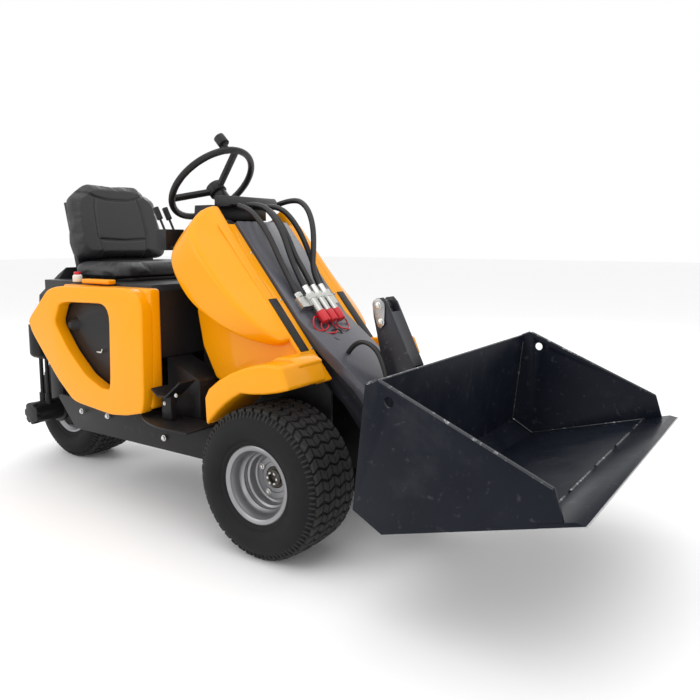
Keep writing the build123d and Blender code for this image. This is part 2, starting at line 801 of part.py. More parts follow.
def boom_hose(start_y, end_y, height):
    """One hose from the hose box to its coupling or into the cover."""
    shares = [(-172, 0.30, 0.0), (-138, 0.80, 0.06), (-78, 1.0, 0.2), (-5, 0.92, 0.45), (65, 0.66, 0.75)]
    route = [over_slope(a, max(24, height * h), start_y + (end_y - start_y) * t) for a, h, t in shares]
    if end_y in outer_y:
        route.append(over_slope(140, outer_out + 6, end_y))
        route.append(over_slope(bracket_start - outer_nut - 1, outer_out, end_y))
    else:
        route.append(over_slope(130, coupling_out + 6, end_y))
        route.append(over_slope(coupling_start - 1, coupling_out, end_y))
    return hose(route, boom_hose_r)


with BuildPart() as boom_hoses:
    for start_y, end_y, height in hoses:
        add(boom_hose(start_y, end_y, height))
save(boom_hoses.part, "boom_hoses")
tilt_route = [(98, -56, 583), (118, -58, 612), (172, -62, 628), (232, -62, 575), (262, -62, 432)]
save(hose(tilt_route, tilt_hose_r), "tilt_hose")

# Tilt post on the boom's lower end: two side plates, a front plate and the pin at the top
tilt_eye = turned((coupler_pivot[0] + tilt_eye_r, coupler_pivot[1]), coupler_pivot, tilt_eye_deg)
post_in = 26.0
post_t = 8.0
front_off = 32.0


def beside(base, eye, distance, off):
    """Point at distance from base towards eye, off to the front of that line."""
    run = math.hypot(eye[0] - base[0], eye[1] - base[1])
    dx, dz = (eye[0] - base[0]) / run, (eye[1] - base[1]) / run
    return (base[0] + dx * distance - dz * off, base[1] + dz * distance + dx * off)


with BuildPart() as post:
    for sign in (-1, 1):
        with BuildSketch(side(sign * post_in)):
            Polygon(
                (172, 738), (184, 756), (208, 760), beside(tilt_base, tilt_eye, 0, front_off),
                beside(tilt_base, tilt_eye, 210, front_off), boom_top[3],
                toward(boom_top[2], boom_top[3], 70), (176, 700), align=None,
            )
        extrude(amount=sign * post_t)
    with BuildSketch(side(-post_in - post_t)):
        Polygon(
            beside(tilt_base, tilt_eye, 30, front_off), beside(tilt_base, tilt_eye, 210, front_off),
            beside(tilt_base, tilt_eye, 210, front_off - 5), beside(tilt_base, tilt_eye, 30, front_off - 5), align=None,
        )
        with Locations(tilt_base):
            Circle(tilt_pin_r)
    extrude(amount=2 * (post_in + post_t))
save(post.part, "tilt_post")


def cylinder_plane(base, eye, distance):
    """Plane across a cylinder's line at distance from its base eye."""
    x, z = beside(base, eye, distance, 0)
    return Plane(origin=(x, 0, z), x_dir=(0, 1, 0), z_dir=(eye[0] - base[0], 0, eye[1] - base[1]))


def barrel(base, eye, radius, rod_radius, pin_radius, length, width):
    """Barrel with its base eye, bore and gland."""
    with BuildPart() as body:
        with BuildSketch(side(-width / 2)):
            with Locations(base):
                Circle(pin_radius + 10)
        extrude(amount=width)
        with BuildSketch(cylinder_plane(base, eye, pin_radius + 4)):
            Circle(radius)
        extrude(amount=length - pin_radius - 4)
        with BuildSketch(cylinder_plane(base, eye, 45)):
            Circle(radius - 5)
        extrude(amount=length - 45 - 16, mode=Mode.SUBTRACT)
        with BuildSketch(cylinder_plane(base, eye, 45)):
            Circle(rod_radius + running_gap)
        extrude(amount=length, mode=Mode.SUBTRACT)
        with BuildSketch(side(-width)):
            with Locations(base):
                Circle(pin_radius + running_gap)
        extrude(amount=2 * width, mode=Mode.SUBTRACT)
    return body.part


def rod(base, eye, radius, rod_radius, piston_at):
    """Rod with its piston inside the barrel and its eye."""
    length = math.hypot(eye[0] - base[0], eye[1] - base[1])
    with BuildPart() as body:
        with BuildSketch(cylinder_plane(base, eye, piston_at)):
            Circle(radius - 5 - running_gap)
        extrude(amount=18)
        with BuildSketch(cylinder_plane(base, eye, piston_at)):
            Circle(rod_radius)
        extrude(amount=length - piston_at)
        with BuildSketch(side(-eye_w / 2)):
            with Locations(eye):
                Circle(rod_radius + 8)
        extrude(amount=eye_w)
    return body.part


lift_barrel_len = 400.0
tilt_barrel_len = 300.0
save(barrel(lift_base, lift_eye, lift_barrel_r, lift_rod_r, lift_pin_r, lift_barrel_len, 40), "lift_barrel")
save(rod(lift_base, lift_eye, lift_barrel_r, lift_rod_r, 105), "lift_rod")
save(barrel(tilt_base, tilt_eye, tilt_barrel_r, tilt_rod_r, tilt_pin_r, tilt_barrel_len, 40), "tilt_barrel")
save(rod(tilt_base, tilt_eye, tilt_barrel_r, tilt_rod_r, 62), "tilt_rod")

bucket_half_w = machine_w / 2

# Coupler plate on the bucket's back, ears on the boom's end and lugs for the tilt rod
plate_foot = toward(bucket_line[1], bucket_line[0], 14)
plate_head = toward(bucket_line[1], bucket_line[0], 230)
ear_in = boom_half_w + 6
ear_t = 12.0
with BuildPart() as coupler:
    with BuildSketch(side(-170)):
        Polygon(*bent_sheet([plate_foot, plate_head], 12), align=None)
    extrude(amount=340)
    for sign in (-1, 1):
        with BuildSketch(side(sign * ear_in)):
            Polygon((333, 236), (352, 231), (408, 300), plate_foot, (434, 440), (404, 440), (318, 285), align=None)
            with Locations(coupler_pivot):
                Circle(32)
        extrude(amount=sign * ear_t)
        with BuildSketch(side(sign * (ear_in + ear_t))):
            with Locations(coupler_pivot):
                Circle(coupler_pin_r)
        extrude(amount=-sign * 80)
        with BuildSketch(side(sign * (eye_w / 2 + lug_gap))):
            with Locations(tilt_eye):
                Circle(20)
            Polygon(
                (tilt_eye[0], tilt_eye[1] - 20), toward(bucket_line[1], bucket_line[0], 30),
                toward(bucket_line[1], bucket_line[0], 72), (tilt_eye[0], tilt_eye[1] + 20), align=None,
            )
        extrude(amount=sign * lug_t)
save(coupler.part, "coupler")

# Bucket: back, bevel and floor as one bent plate between two side plates with a hole in each
edge_seat = [beside(bucket_line[3], edge_tip, d, edge_t) for d in (0, 54)]
hole_at = (516.0, 567.0)
with BuildPart() as bucket:
    with BuildSketch(side(-bucket_half_w + bucket_wall)):
        Polygon(*bent_sheet(bucket_line, bucket_wall), align=None)
    extrude(amount=machine_w - 2 * bucket_wall)
    for sign in (-1, 1):
        with BuildSketch(side(sign * bucket_half_w)):
            Polygon(*bucket_line, *edge_seat, (901, 442), (486, 615), align=None)
            with Locations(hole_at):
                Circle(bucket_hole_r, mode=Mode.SUBTRACT)
        extrude(amount=-sign * bucket_wall)
save(bucket.part, "bucket")

# Cutting edge in line with the floor, under the side plates' front corners
with BuildPart() as edge:
    with BuildSketch(side(-bucket_half_w)):
        Polygon(
            bucket_line[3], edge_tip, beside(bucket_line[3], edge_tip, edge_len - 22, edge_t),
            beside(bucket_line[3], edge_tip, 0, edge_t), align=None,
        )
    extrude(amount=machine_w)
save(edge.part, "cutting_edge")
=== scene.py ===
"""Ride-on three-wheel mini loader: the looks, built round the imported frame."""
import math
from contextlib import contextmanager

import bpy
from bpy.props import FloatProperty, FloatVectorProperty, IntProperty, PointerProperty
from mathutils import Matrix, Vector


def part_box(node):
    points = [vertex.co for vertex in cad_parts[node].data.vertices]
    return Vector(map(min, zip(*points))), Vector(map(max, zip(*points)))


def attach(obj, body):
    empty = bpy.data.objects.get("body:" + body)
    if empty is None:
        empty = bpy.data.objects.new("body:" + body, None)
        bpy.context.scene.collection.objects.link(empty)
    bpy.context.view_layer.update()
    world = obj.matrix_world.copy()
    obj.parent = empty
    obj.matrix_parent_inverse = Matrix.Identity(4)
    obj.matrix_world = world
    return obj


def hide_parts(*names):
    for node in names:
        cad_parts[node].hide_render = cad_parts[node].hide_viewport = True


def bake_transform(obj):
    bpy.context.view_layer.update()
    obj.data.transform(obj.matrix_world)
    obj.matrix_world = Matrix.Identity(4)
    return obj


bl_info = {
    "name": "Mini loader",
    "version": (1, 0, 0),
    "blender": (4, 5, 0),
    "location": "3D Viewport > Sidebar > Mini loader",
    "description": "Builds the visible pieces of a ride-on three-wheel loader round its frame",
    "category": "Object",
}

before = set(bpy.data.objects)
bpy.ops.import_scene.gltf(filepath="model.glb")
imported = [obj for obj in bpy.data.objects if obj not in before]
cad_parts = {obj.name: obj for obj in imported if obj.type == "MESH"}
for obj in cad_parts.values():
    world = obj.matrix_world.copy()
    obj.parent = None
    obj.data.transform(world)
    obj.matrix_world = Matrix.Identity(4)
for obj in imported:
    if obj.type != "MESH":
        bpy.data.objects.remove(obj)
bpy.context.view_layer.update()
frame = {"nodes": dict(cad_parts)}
NODES = frame["nodes"]

# Places are given in millimetres from the point on the ground below the front axle
MM = 0.001
tyre_low, tyre_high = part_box("front_tyre_right")
FRONT_X = (tyre_low.x + tyre_high.x) / 2
# The wings' slope: its angle and its upper end
SLOPE = math.radians(50.4)
SLOPE_TOP = (-228.0, 901.0)
UP = Vector((0, 0, 1))


def at(x, y, z):
    """Point in metres from millimetres in the front axle's frame."""
    return Vector((FRONT_X + x * MM, y * MM, z * MM))


def slope_at(along, y, out=0.0):
    """Point from its place down the wings' slope, its y and its height off the slope."""
    c, s = math.cos(SLOPE), math.sin(SLOPE)
    return at(SLOPE_TOP[0] + along * c + out * s, y, SLOPE_TOP[1] - along * s + out * c)


OFF_SLOPE = Vector((math.sin(SLOPE), 0, math.cos(SLOPE)))


# Modelling helpers
def deselect():
    if bpy.context.object and bpy.context.object.mode != "OBJECT":
        bpy.ops.object.mode_set(mode="OBJECT")
    bpy.ops.object.select_all(action="DESELECT")


def pick(obj):
    deselect()
    obj.select_set(True)
    bpy.context.view_layer.objects.active = obj
    return obj


@contextmanager
def editing(obj, mode="VERT", select=True):
    """Edit mode on one object, with everything or nothing selected at the start."""
    pick(obj)
    bpy.ops.object.mode_set(mode="EDIT")
    bpy.ops.mesh.select_mode(type=mode)
    bpy.ops.mesh.select_all(action="SELECT" if select else "DESELECT")
    yield obj
    bpy.ops.object.mode_set(mode="OBJECT")


def applied(obj):
    """Object at the origin, unturned, with its place in its mesh."""
    pick(obj)
    bpy.ops.object.transform_apply(location=True, rotation=True, scale=True)
    return obj


def finish_modifiers(obj):
    pick(obj)
    for modifier in list(obj.modifiers):
        bpy.ops.object.modifier_apply(modifier=modifier.name)
    return obj


def smooth(obj, degrees=35):
    pick(obj)
    bpy.ops.object.shade_smooth_by_angle(angle=math.radians(degrees))
    return obj


def rounded(obj, width, segments=2, degrees=30):
    """Bevel on every edge sharper than degrees, width in millimetres."""
    bevel = obj.modifiers.new("Edges", "BEVEL")
    bevel.width = width * MM
    bevel.segments = segments
    bevel.limit_method = "ANGLE"
    bevel.angle_limit = math.radians(degrees)
    bevel.use_clamp_overlap = True
    bevel.harden_normals = False
    return smooth(finish_modifiers(obj))


def outwards(obj):
    with editing(obj):
        bpy.ops.mesh.remove_doubles(threshold=1e-5)
        bpy.ops.mesh.normals_make_consistent(inside=False)
    return obj


def start_point(name, point):
    """Object of one vertex at the given place."""
    deselect()
    bpy.ops.mesh.primitive_plane_add(size=0.001)
    obj = bpy.context.object
    obj.name = name
    with editing(obj):
        bpy.ops.mesh.merge(type="CENTER")
        bpy.ops.transform.translate(value=point)
    return obj


def drawn(name, points):
    """Chain of edges through the points, left selected in edit mode's memory."""
    obj = start_point(name, points[0])
    with editing(obj):
        for a, b in zip(points, points[1:]):
            bpy.ops.mesh.extrude_region_move(TRANSFORM_OT_translate={"value": b - a})
    return obj


def plate(name, outline, thickness):
    """Flat plate: an outline filled and extruded by a vector."""
    obj = drawn(name, outline)
    with editing(obj):
        bpy.ops.mesh.edge_face_add()
        bpy.ops.mesh.extrude_region_move(TRANSFORM_OT_translate={"value": thickness})
    return outwards(obj)


def spun(name, profile, centre, axis, radial, steps=64):
    """Profile of (radius, along) in millimetres turned about an axis."""
    points = [centre + radial * (r * MM) + axis * (a * MM) for r, a in profile]
    obj = drawn(name, points)
    with editing(obj):
        bpy.ops.mesh.spin(steps=steps, angle=2 * math.pi, center=centre, axis=axis)
    return outwards(obj)


def turn_to(direction):
    return Vector(direction).to_track_quat("Z", "Y").to_euler()


def bar(name, start, end, radius, vertices=24):
    """Round bar between two points, radius in millimetres."""
    deselect()
    bpy.ops.mesh.primitive_cylinder_add(
        vertices=vertices, radius=radius * MM, depth=(end - start).length,
        location=(start + end) / 2, rotation=turn_to(end - start),
    )
    obj = bpy.context.object
    obj.name = name
    return applied(obj)


def block(name, centre, size, turn=(0, 0, 0)):
    """Block with its size in millimetres."""
    deselect()
    bpy.ops.mesh.primitive_cube_add(size=1, location=centre, rotation=turn)
    obj = bpy.context.object
    obj.name = name
    obj.scale = Vector(size) * MM
    return applied(obj)


def joined(name, objects):
    deselect()
    for obj in objects:
        obj.select_set(True)
    bpy.context.view_layer.objects.active = objects[0]
    if len(objects) > 1:
        bpy.ops.object.join()
    objects[0].name = name
    return objects[0]


def copies(name, model, places):
    """Copies of a model that stands on the origin along +Z, at each (point, direction)."""
    made = []
    for point, direction in places:
        copy = linked(name, model.data.copy())
        copy.matrix_world = Matrix.Translation(point) @ turn_to(direction).to_matrix().to_4x4()
        made.append(applied(copy))
    bpy.data.objects.remove(model)
    return joined(name, made)


def tube(name, points, radius, order=3, sides=6):
    """Tube along a smooth line through the space between its points, as a mesh."""
    curve = bpy.data.curves.new(name, "CURVE")
    curve.dimensions = "3D"
    curve.bevel_depth = radius * MM
    curve.bevel_resolution = sides
    curve.resolution_u = 10
    curve.use_fill_caps = True
    line = curve.splines.new("NURBS")
    line.points.add(len(points) - 1)
    for place, point in zip(line.points, points):
        place.co = (*point, 1)
    line.order_u = order
    line.use_endpoint_u = True
    pick(linked(name, curve))
    bpy.ops.object.convert(target="MESH")
    obj = bpy.context.object
    pick(obj)
    bpy.ops.object.shade_smooth()
    return obj


def linked(name, data):
    """New object of the given data, in the scene."""
    obj = bpy.data.objects.new(name, data)
    bpy.context.scene.collection.objects.link(obj)
    return obj


def cad_copy(name, node):
    """The CAD node's shape as a mesh of its own, with its doubled points merged."""
    obj = linked(name, NODES[node].data.copy())
    with editing(obj):
        bpy.ops.mesh.customdata_custom_splitnormals_clear()
        bpy.ops.mesh.remove_doubles(threshold=2e-6)
    return obj


def softened(node, width):
    """The CAD node's shape with its edges rounded, standing for the node."""
    obj = cad_copy(node + "_body", node)
    with editing(obj):
        bpy.ops.mesh.dissolve_limited(angle_limit=math.radians(3))
    rounded(obj, width)
    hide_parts(node)
    return obj


def dressed(obj, material, body):
    """Material and body of a finished piece."""
    obj.data.materials.clear()
    obj.data.materials.append(material)
    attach(obj, body)
    return obj


# Materials
def node_of(tree, kind, **values):
    made = tree.nodes.new(kind)
    for key, value in values.items():
        if key.startswith("in_"):
            made.inputs[key[3:].replace("_", " ")].default_value = value
        else:
            setattr(made, key, value)
    return made


def group(name, inputs, outputs):
    """Empty node group with float inputs (name, default) and outputs (name, kind)."""
    tree = bpy.data.node_groups.new(name, "ShaderNodeTree")
    for title, value in inputs:
        kind = "NodeSocketColor" if isinstance(value, tuple) else "NodeSocketFloat"
        socket = tree.interface.new_socket(name=title, in_out="INPUT", socket_type=kind)
        socket.default_value = value
    for title, kind in outputs:
        tree.interface.new_socket(name=title, in_out="OUTPUT", socket_type=kind)
    return tree, tree.nodes.new("NodeGroupInput"), tree.nodes.new("NodeGroupOutput")


def ramp(tree, source, low, high):
    """Mask that rises from 0 at low to 1 at high."""
    made = node_of(tree, "ShaderNodeMapRange", in_From_Min=low, in_From_Max=high)
    tree.links.new(source, made.inputs["Value"])
    return made.outputs["Result"]


def maths(tree, operation, a, b):
    made = node_of(tree, "ShaderNodeMath", operation=operation)
    for socket, value in zip(made.inputs, (a, b)):
        if isinstance(value, (int, float)):
            socket.default_value = value
        else:
            tree.links.new(value, socket)
    return made.outputs[0]


def blended(tree, factor, a, b):
    made = node_of(tree, "ShaderNodeMix", data_type="RGBA")
    for socket, value in zip((made.inputs[0], made.inputs[6], made.inputs[7]), (factor, a, b)):
        if isinstance(value, (int, float, tuple)):
            socket.default_value = value
        else:
            tree.links.new(value, socket)
    return made.outputs[2]


def surface_group():
    """Colour mottling, worn specks, low dust and fine grain, shared by the materials."""
    tree, ins, outs = group(
        "Worked surface",
        [("Colour", (0.5, 0.5, 0.5, 1)), ("Worn Colour", (0.5, 0.5, 0.5, 1)),
         ("Dust Colour", (0.12, 0.112, 0.1, 1)), ("Roughness", 0.5), ("Mottle", 0.1), ("Wear", 0.0),
         ("Dust", 0.0), ("Grain Scale", 400.0), ("Grain Depth", 0.1)],
        [("Colour", "NodeSocketColor"), ("Roughness", "NodeSocketFloat"), ("Height", "NodeSocketFloat")],
    )
    place = node_of(tree, "ShaderNodeTexCoord").outputs["Object"]
    links = tree.links
    broad = node_of(tree, "ShaderNodeTexNoise", in_Scale=6.0, in_Detail=6.0, in_Roughness=0.62)
    fine = node_of(tree, "ShaderNodeTexNoise", in_Detail=3.0, in_Roughness=0.55)
    specks = node_of(tree, "ShaderNodeTexNoise", in_Scale=45.0, in_Detail=8.0, in_Roughness=0.6)
    for texture in (broad, fine, specks):
        links.new(place, texture.inputs["Vector"])
    links.new(ins.outputs["Grain Scale"], fine.inputs["Scale"])
    swing = maths(tree, "MULTIPLY", maths(tree, "SUBTRACT", broad.outputs["Fac"], 0.5), ins.outputs["Mottle"])
    bright = maths(tree, "ADD", maths(tree, "MULTIPLY", swing, 2.0), 1.0)
    toned = node_of(tree, "ShaderNodeVectorMath", operation="SCALE")
    links.new(ins.outputs["Colour"], toned.inputs[0])
    links.new(bright, toned.inputs["Scale"])
    worn = maths(tree, "MULTIPLY", ramp(tree, specks.outputs["Fac"], 0.6, 0.72), ins.outputs["Wear"])
    height = node_of(tree, "ShaderNodeSeparateXYZ")
    links.new(place, height.inputs[0])
    low = ramp(tree, height.outputs["Z"], 0.75, 0.05)
    dusty = maths(tree, "MULTIPLY", maths(tree, "MULTIPLY", low, ramp(tree, broad.outputs["Fac"], 0.35, 0.7)),
                  ins.outputs["Dust"])
    colour = blended(tree, worn, toned.outputs[0], ins.outputs["Worn Colour"])
    colour = blended(tree, dusty, colour, ins.outputs["Dust Colour"])
    links.new(colour, outs.inputs["Colour"])
    rough = maths(tree, "ADD", ins.outputs["Roughness"], maths(tree, "MULTIPLY", swing, 1.2))
    rough = maths(tree, "ADD", rough, maths(tree, "MULTIPLY", dusty, 0.3))
    links.new(rough, outs.inputs["Roughness"])
    grain = maths(tree, "MULTIPLY", fine.outputs["Fac"], ins.outputs["Grain Depth"])
    grain = maths(tree, "SUBTRACT", grain, maths(tree, "MULTIPLY", worn, 0.3))
    links.new(grain, outs.inputs["Height"])
    return tree


def streak_group():
    """Fine lines along one direction, as on brushed or scraped metal."""
    tree, ins, outs = group(
        "Streaks", [("Across", 60.0), ("Along", 2.0), ("Depth", 0.2)],
        [("Mask", "NodeSocketFloat"), ("Height", "NodeSocketFloat")],
    )
    place = node_of(tree, "ShaderNodeTexCoord").outputs["Object"]
    scale = node_of(tree, "ShaderNodeCombineXYZ")
    tree.links.new(ins.outputs["Along"], scale.inputs["X"])
    tree.links.new(ins.outputs["Across"], scale.inputs["Y"])
    tree.links.new(ins.outputs["Along"], scale.inputs["Z"])
    stretched = node_of(tree, "ShaderNodeVectorMath", operation="MULTIPLY")
    tree.links.new(place, stretched.inputs[0])
    tree.links.new(scale.outputs[0], stretched.inputs[1])
    noise = node_of(tree, "ShaderNodeTexNoise", in_Scale=1.0, in_Detail=5.0, in_Roughness=0.65)
    tree.links.new(stretched.outputs[0], noise.inputs["Vector"])
    tree.links.new(ramp(tree, noise.outputs["Fac"], 0.58, 0.7), outs.inputs["Mask"])
    tree.links.new(maths(tree, "MULTIPLY", noise.outputs["Fac"], ins.outputs["Depth"]), outs.inputs["Height"])
    return tree


def hide_group():
    """Cells and creases of a moulded or coated hide."""
    tree, ins, outs = group(
        "Hide grain", [("Scale", 260.0), ("Depth", 0.5)],
        [("Height", "NodeSocketFloat"), ("Crease", "NodeSocketFloat")],
    )
    place = node_of(tree, "ShaderNodeTexCoord").outputs["Object"]
    warp = node_of(tree, "ShaderNodeTexNoise", in_Scale=40.0, in_Detail=3.0)
    tree.links.new(place, warp.inputs["Vector"])
    bent = node_of(tree, "ShaderNodeVectorMath", operation="MULTIPLY_ADD")
    tree.links.new(warp.outputs["Color"], bent.inputs[0])
    bent.inputs[1].default_value = (0.004, 0.004, 0.004)
    tree.links.new(place, bent.inputs[2])
    cells = node_of(tree, "ShaderNodeTexVoronoi", feature="DISTANCE_TO_EDGE")
    tree.links.new(bent.outputs[0], cells.inputs["Vector"])
    tree.links.new(ins.outputs["Scale"], cells.inputs["Scale"])
    crease = ramp(tree, cells.outputs["Distance"], 0.0, 0.12)
    tree.links.new(maths(tree, "MULTIPLY", crease, ins.outputs["Depth"]), outs.inputs["Height"])
    tree.links.new(crease, outs.inputs["Crease"])
    return tree


GROUPS = {}
MATERIALS = {}


def shader_group(key, maker):
    if key not in GROUPS:
        GROUPS[key] = maker()
    return GROUPS[key]


def material(name, colour, roughness, metallic=0.0, worn=None, mottle=0.08, wear=0.0, dust=0.0,
             grain=(400.0, 0.1), bump=0.15, coat=0.0, coat_roughness=0.08, specular=0.5, streaks=None,
             hide=None):
    """Procedural material on the shared surface group, with streaks or hide grain where asked."""
    if name in MATERIALS:
        return MATERIALS[name]
    made = bpy.data.materials.new(name)
    made.use_nodes = True
    tree = made.node_tree
    shader = tree.nodes["Principled BSDF"]
    surface = node_of(tree, "ShaderNodeGroup", node_tree=shader_group("surface", surface_group))
    worn_colour = (*(worn or colour), 1)
    for title, value in (
        ("Colour", (*colour, 1)), ("Worn Colour", worn_colour), ("Roughness", roughness), ("Mottle", mottle),
        ("Wear", wear), ("Dust", dust), ("Grain Scale", grain[0]), ("Grain Depth", grain[1]),
    ):
        surface.inputs[title].default_value = value
    for title, value in (("Metallic", metallic), ("Specular IOR Level", specular), ("Coat Weight", coat),
                         ("Coat Roughness", coat_roughness)):
        shader.inputs[title].default_value = value
    colour_out, height_out = surface.outputs["Colour"], surface.outputs["Height"]
    if streaks:
        lines = node_of(tree, "ShaderNodeGroup", node_tree=shader_group("streaks", streak_group))
        for title, value in zip(("Across", "Along", "Depth"), streaks[:3]):
            lines.inputs[title].default_value = value
        share = maths(tree, "MULTIPLY", lines.outputs["Mask"], streaks[3])
        colour_out = blended(tree, share, colour_out, worn_colour)
        height_out = maths(tree, "ADD", height_out, lines.outputs["Height"])
    if hide:
        cells = node_of(tree, "ShaderNodeGroup", node_tree=shader_group("hide", hide_group))
        cells.inputs["Scale"].default_value = hide[0]
        cells.inputs["Depth"].default_value = hide[1]
        height_out = maths(tree, "ADD", height_out, cells.outputs["Height"])
    tree.links.new(colour_out, shader.inputs["Base Color"])
    tree.links.new(surface.outputs["Roughness"], shader.inputs["Roughness"])
    relief = node_of(tree, "ShaderNodeBump", in_Strength=bump, in_Distance=0.002)
    tree.links.new(height_out, relief.inputs["Height"])
    tree.links.new(relief.outputs["Normal"], shader.inputs["Normal"])
    MATERIALS[name] = made
    return made


def colours():
    return bpy.context.scene.loader_colours


def sizes():
    return bpy.context.scene.loader_sizes


def yellow_gloss():
    return material(
        "Yellow moulding", tuple(colours().body), 0.34, mottle=0.03, grain=(900.0, 0.05), bump=0.03,
        coat=0.3, coat_roughness=0.05, specular=0.15, dust=0.05,
    )


def frame_paint():
    return material(
        "Dark frame paint", tuple(colours().frame), 0.42, worn=(0.1, 0.1, 0.1), mottle=0.2, wear=0.2,
        dust=0.08, grain=(500.0, 0.25), bump=0.1, specular=0.22,
    )


def black_paint():
    return material(
        "Black paint", (0.012, 0.012, 0.013), 0.36, worn=(0.1, 0.1, 0.1), mottle=0.2, wear=0.15,
        dust=0.05, grain=(600.0, 0.2), bump=0.12, specular=0.22,
    )


def black_plastic():
    return material(
        "Black moulding", (0.014, 0.014, 0.015), 0.36, mottle=0.12, dust=0.04, grain=(700.0, 0.3),
        bump=0.12, hide=(700.0, 0.25), specular=0.25,
    )


def tyre_rubber():
    return material(
        "Tyre rubber", tuple(colours().tyre), 0.6, mottle=0.15, dust=0.06, grain=(300.0, 0.35),
        bump=0.15, specular=0.12,
    )


def tread_rubber():
    return material(
        "Tread rubber", (0.026, 0.026, 0.026), 0.7, worn=(0.06, 0.06, 0.059), mottle=0.25, wear=0.6,
        dust=0.1, grain=(300.0, 0.4), bump=0.2, specular=0.15,
    )


def rim_paint():
    return material(
        "Silver rim paint", tuple(colours().rim), 0.34, metallic=0.8, worn=(0.12, 0.11, 0.1),
        mottle=0.12, wear=0.15, dust=0.1, grain=(800.0, 0.12), bump=0.08,
    )


def boom_paint():
    return material(
        "Grey boom paint", tuple(colours().boom), 0.34, worn=(0.18, 0.18, 0.19), mottle=0.16, wear=0.3,
        dust=0.08, grain=(450.0, 0.2), bump=0.1, specular=0.3,
    )


def cover_paint():
    return material(
        "Grey cover paint", tuple(colours().cover), 0.33, worn=(0.3, 0.3, 0.31), mottle=0.14, wear=0.15,
        grain=(450.0, 0.2), bump=0.08, coat=0.25, coat_roughness=0.2,
    )


def bucket_paint():
    return material(
        "Blue-black bucket paint", tuple(colours().bucket), 0.34, worn=(0.2, 0.2, 0.21), mottle=0.3,
        wear=0.12, dust=0.03, grain=(350.0, 0.2), bump=0.08, specular=0.12,
        streaks=(70.0, 3.0, 0.05, 0.06),
    )


def bare_steel():
    return material(
        "Worn steel", (0.42, 0.42, 0.43), 0.33, metallic=1.0, worn=(0.16, 0.14, 0.12), mottle=0.2,
        wear=0.4, grain=(350.0, 0.2), bump=0.15, streaks=(140.0, 4.0, 0.4, 0.5),
    )


def hub_casting():
    return material(
        "Hub casting", (0.1, 0.09, 0.08), 0.5, metallic=0.6, mottle=0.3, wear=0.3,
        worn=(0.3, 0.28, 0.25), grain=(300.0, 0.4), bump=0.25,
    )


def rubbed_edge():
    return material(
        "Rubbed edge", (0.05, 0.052, 0.058), 0.3, metallic=0.5, worn=(0.5, 0.5, 0.52), mottle=0.4,
        wear=1.0, grain=(300.0, 0.4), bump=0.3, streaks=(40.0, 40.0, 0.3, 0.8),
    )


def white_moulding():
    return material("White moulding", (0.7, 0.68, 0.62), 0.4)


def zinc():
    return material(
        "Zinc plate", (0.6, 0.6, 0.58), 0.28, metallic=1.0, worn=(0.25, 0.23, 0.2), mottle=0.15,
        wear=0.2, grain=(700.0, 0.15), bump=0.08,
    )


def chrome():
    return material(
        "Chromed rod", (0.75, 0.76, 0.78), 0.09, metallic=1.0, mottle=0.03, grain=(900.0, 0.04),
        bump=0.02,
    )


def hose_rubber():
    return material(
        "Hose rubber", (0.013, 0.013, 0.014), 0.42, mottle=0.12, grain=(600.0, 0.25), bump=0.12,
    )


def vinyl():
    return material(
        "Seat vinyl", tuple(colours().seat), 0.4, mottle=0.08, grain=(500.0, 0.1), bump=0.22,
        hide=(420.0, 0.55), specular=0.5,
    )


def red_plastic():
    return material("Red moulding", (0.55, 0.012, 0.02), 0.35, mottle=0.1, grain=(700.0, 0.15), bump=0.1)


# Builders of the pieces
def bolt_model(size):
    """Hexagon head with its washer, standing on the origin, size from its middle to a corner."""
    parts = []
    # Head, then washer: sides, radius, height and middle as shares of the size
    for sides, radius, height, middle in ((6, 1, 0.7, 0.45), (20, 1.35, 0.22, 0.11)):
        deselect()
        bpy.ops.mesh.primitive_cylinder_add(vertices=sides, radius=size * radius * MM,
                                            depth=size * height * MM, location=(0, 0, size * middle * MM))
        parts.append(applied(bpy.context.object))
    return rounded(joined("bolt", parts), size * 0.1, 2)


def screw_model(radius):
    """Domed screw head with a hollow in its middle."""
    shares = ((1, 0), (1, 0.25), (0.75, 0.6), (0.4, 0.65), (0.35, 0.3))
    profile = [(radius * r, radius * h) for r, h in shares] + [(0.01, radius * 0.3)]
    return smooth(spun("screw", profile, Vector((0, 0, 0)), UP, Vector((1, 0, 0)), 16), 40)


def tread_block(size, lean, where, radius, tilt):
    """One tread block: leaning sides, its foot on the carcass. Its width is along Y, its length along X."""
    width, length, height = size
    obj = block("tread", Vector((0, 0, 0)), (1, 1, 1))
    for v in obj.data.vertices:
        sx, sy, sz = (1 if c > 0 else -1 for c in v.co)
        shrink = 0.88 if sz > 0 else 1.0
        v.co = Vector((
            (sx * length / 2 * shrink + sy * lean) * MM, sy * width / 2 * shrink * MM, (height / 2 * sz) * MM,
        ))
    obj.rotation_euler = (tilt, 0, 0)
    obj.location = Vector((0, where * MM, radius * MM))
    return applied(obj)


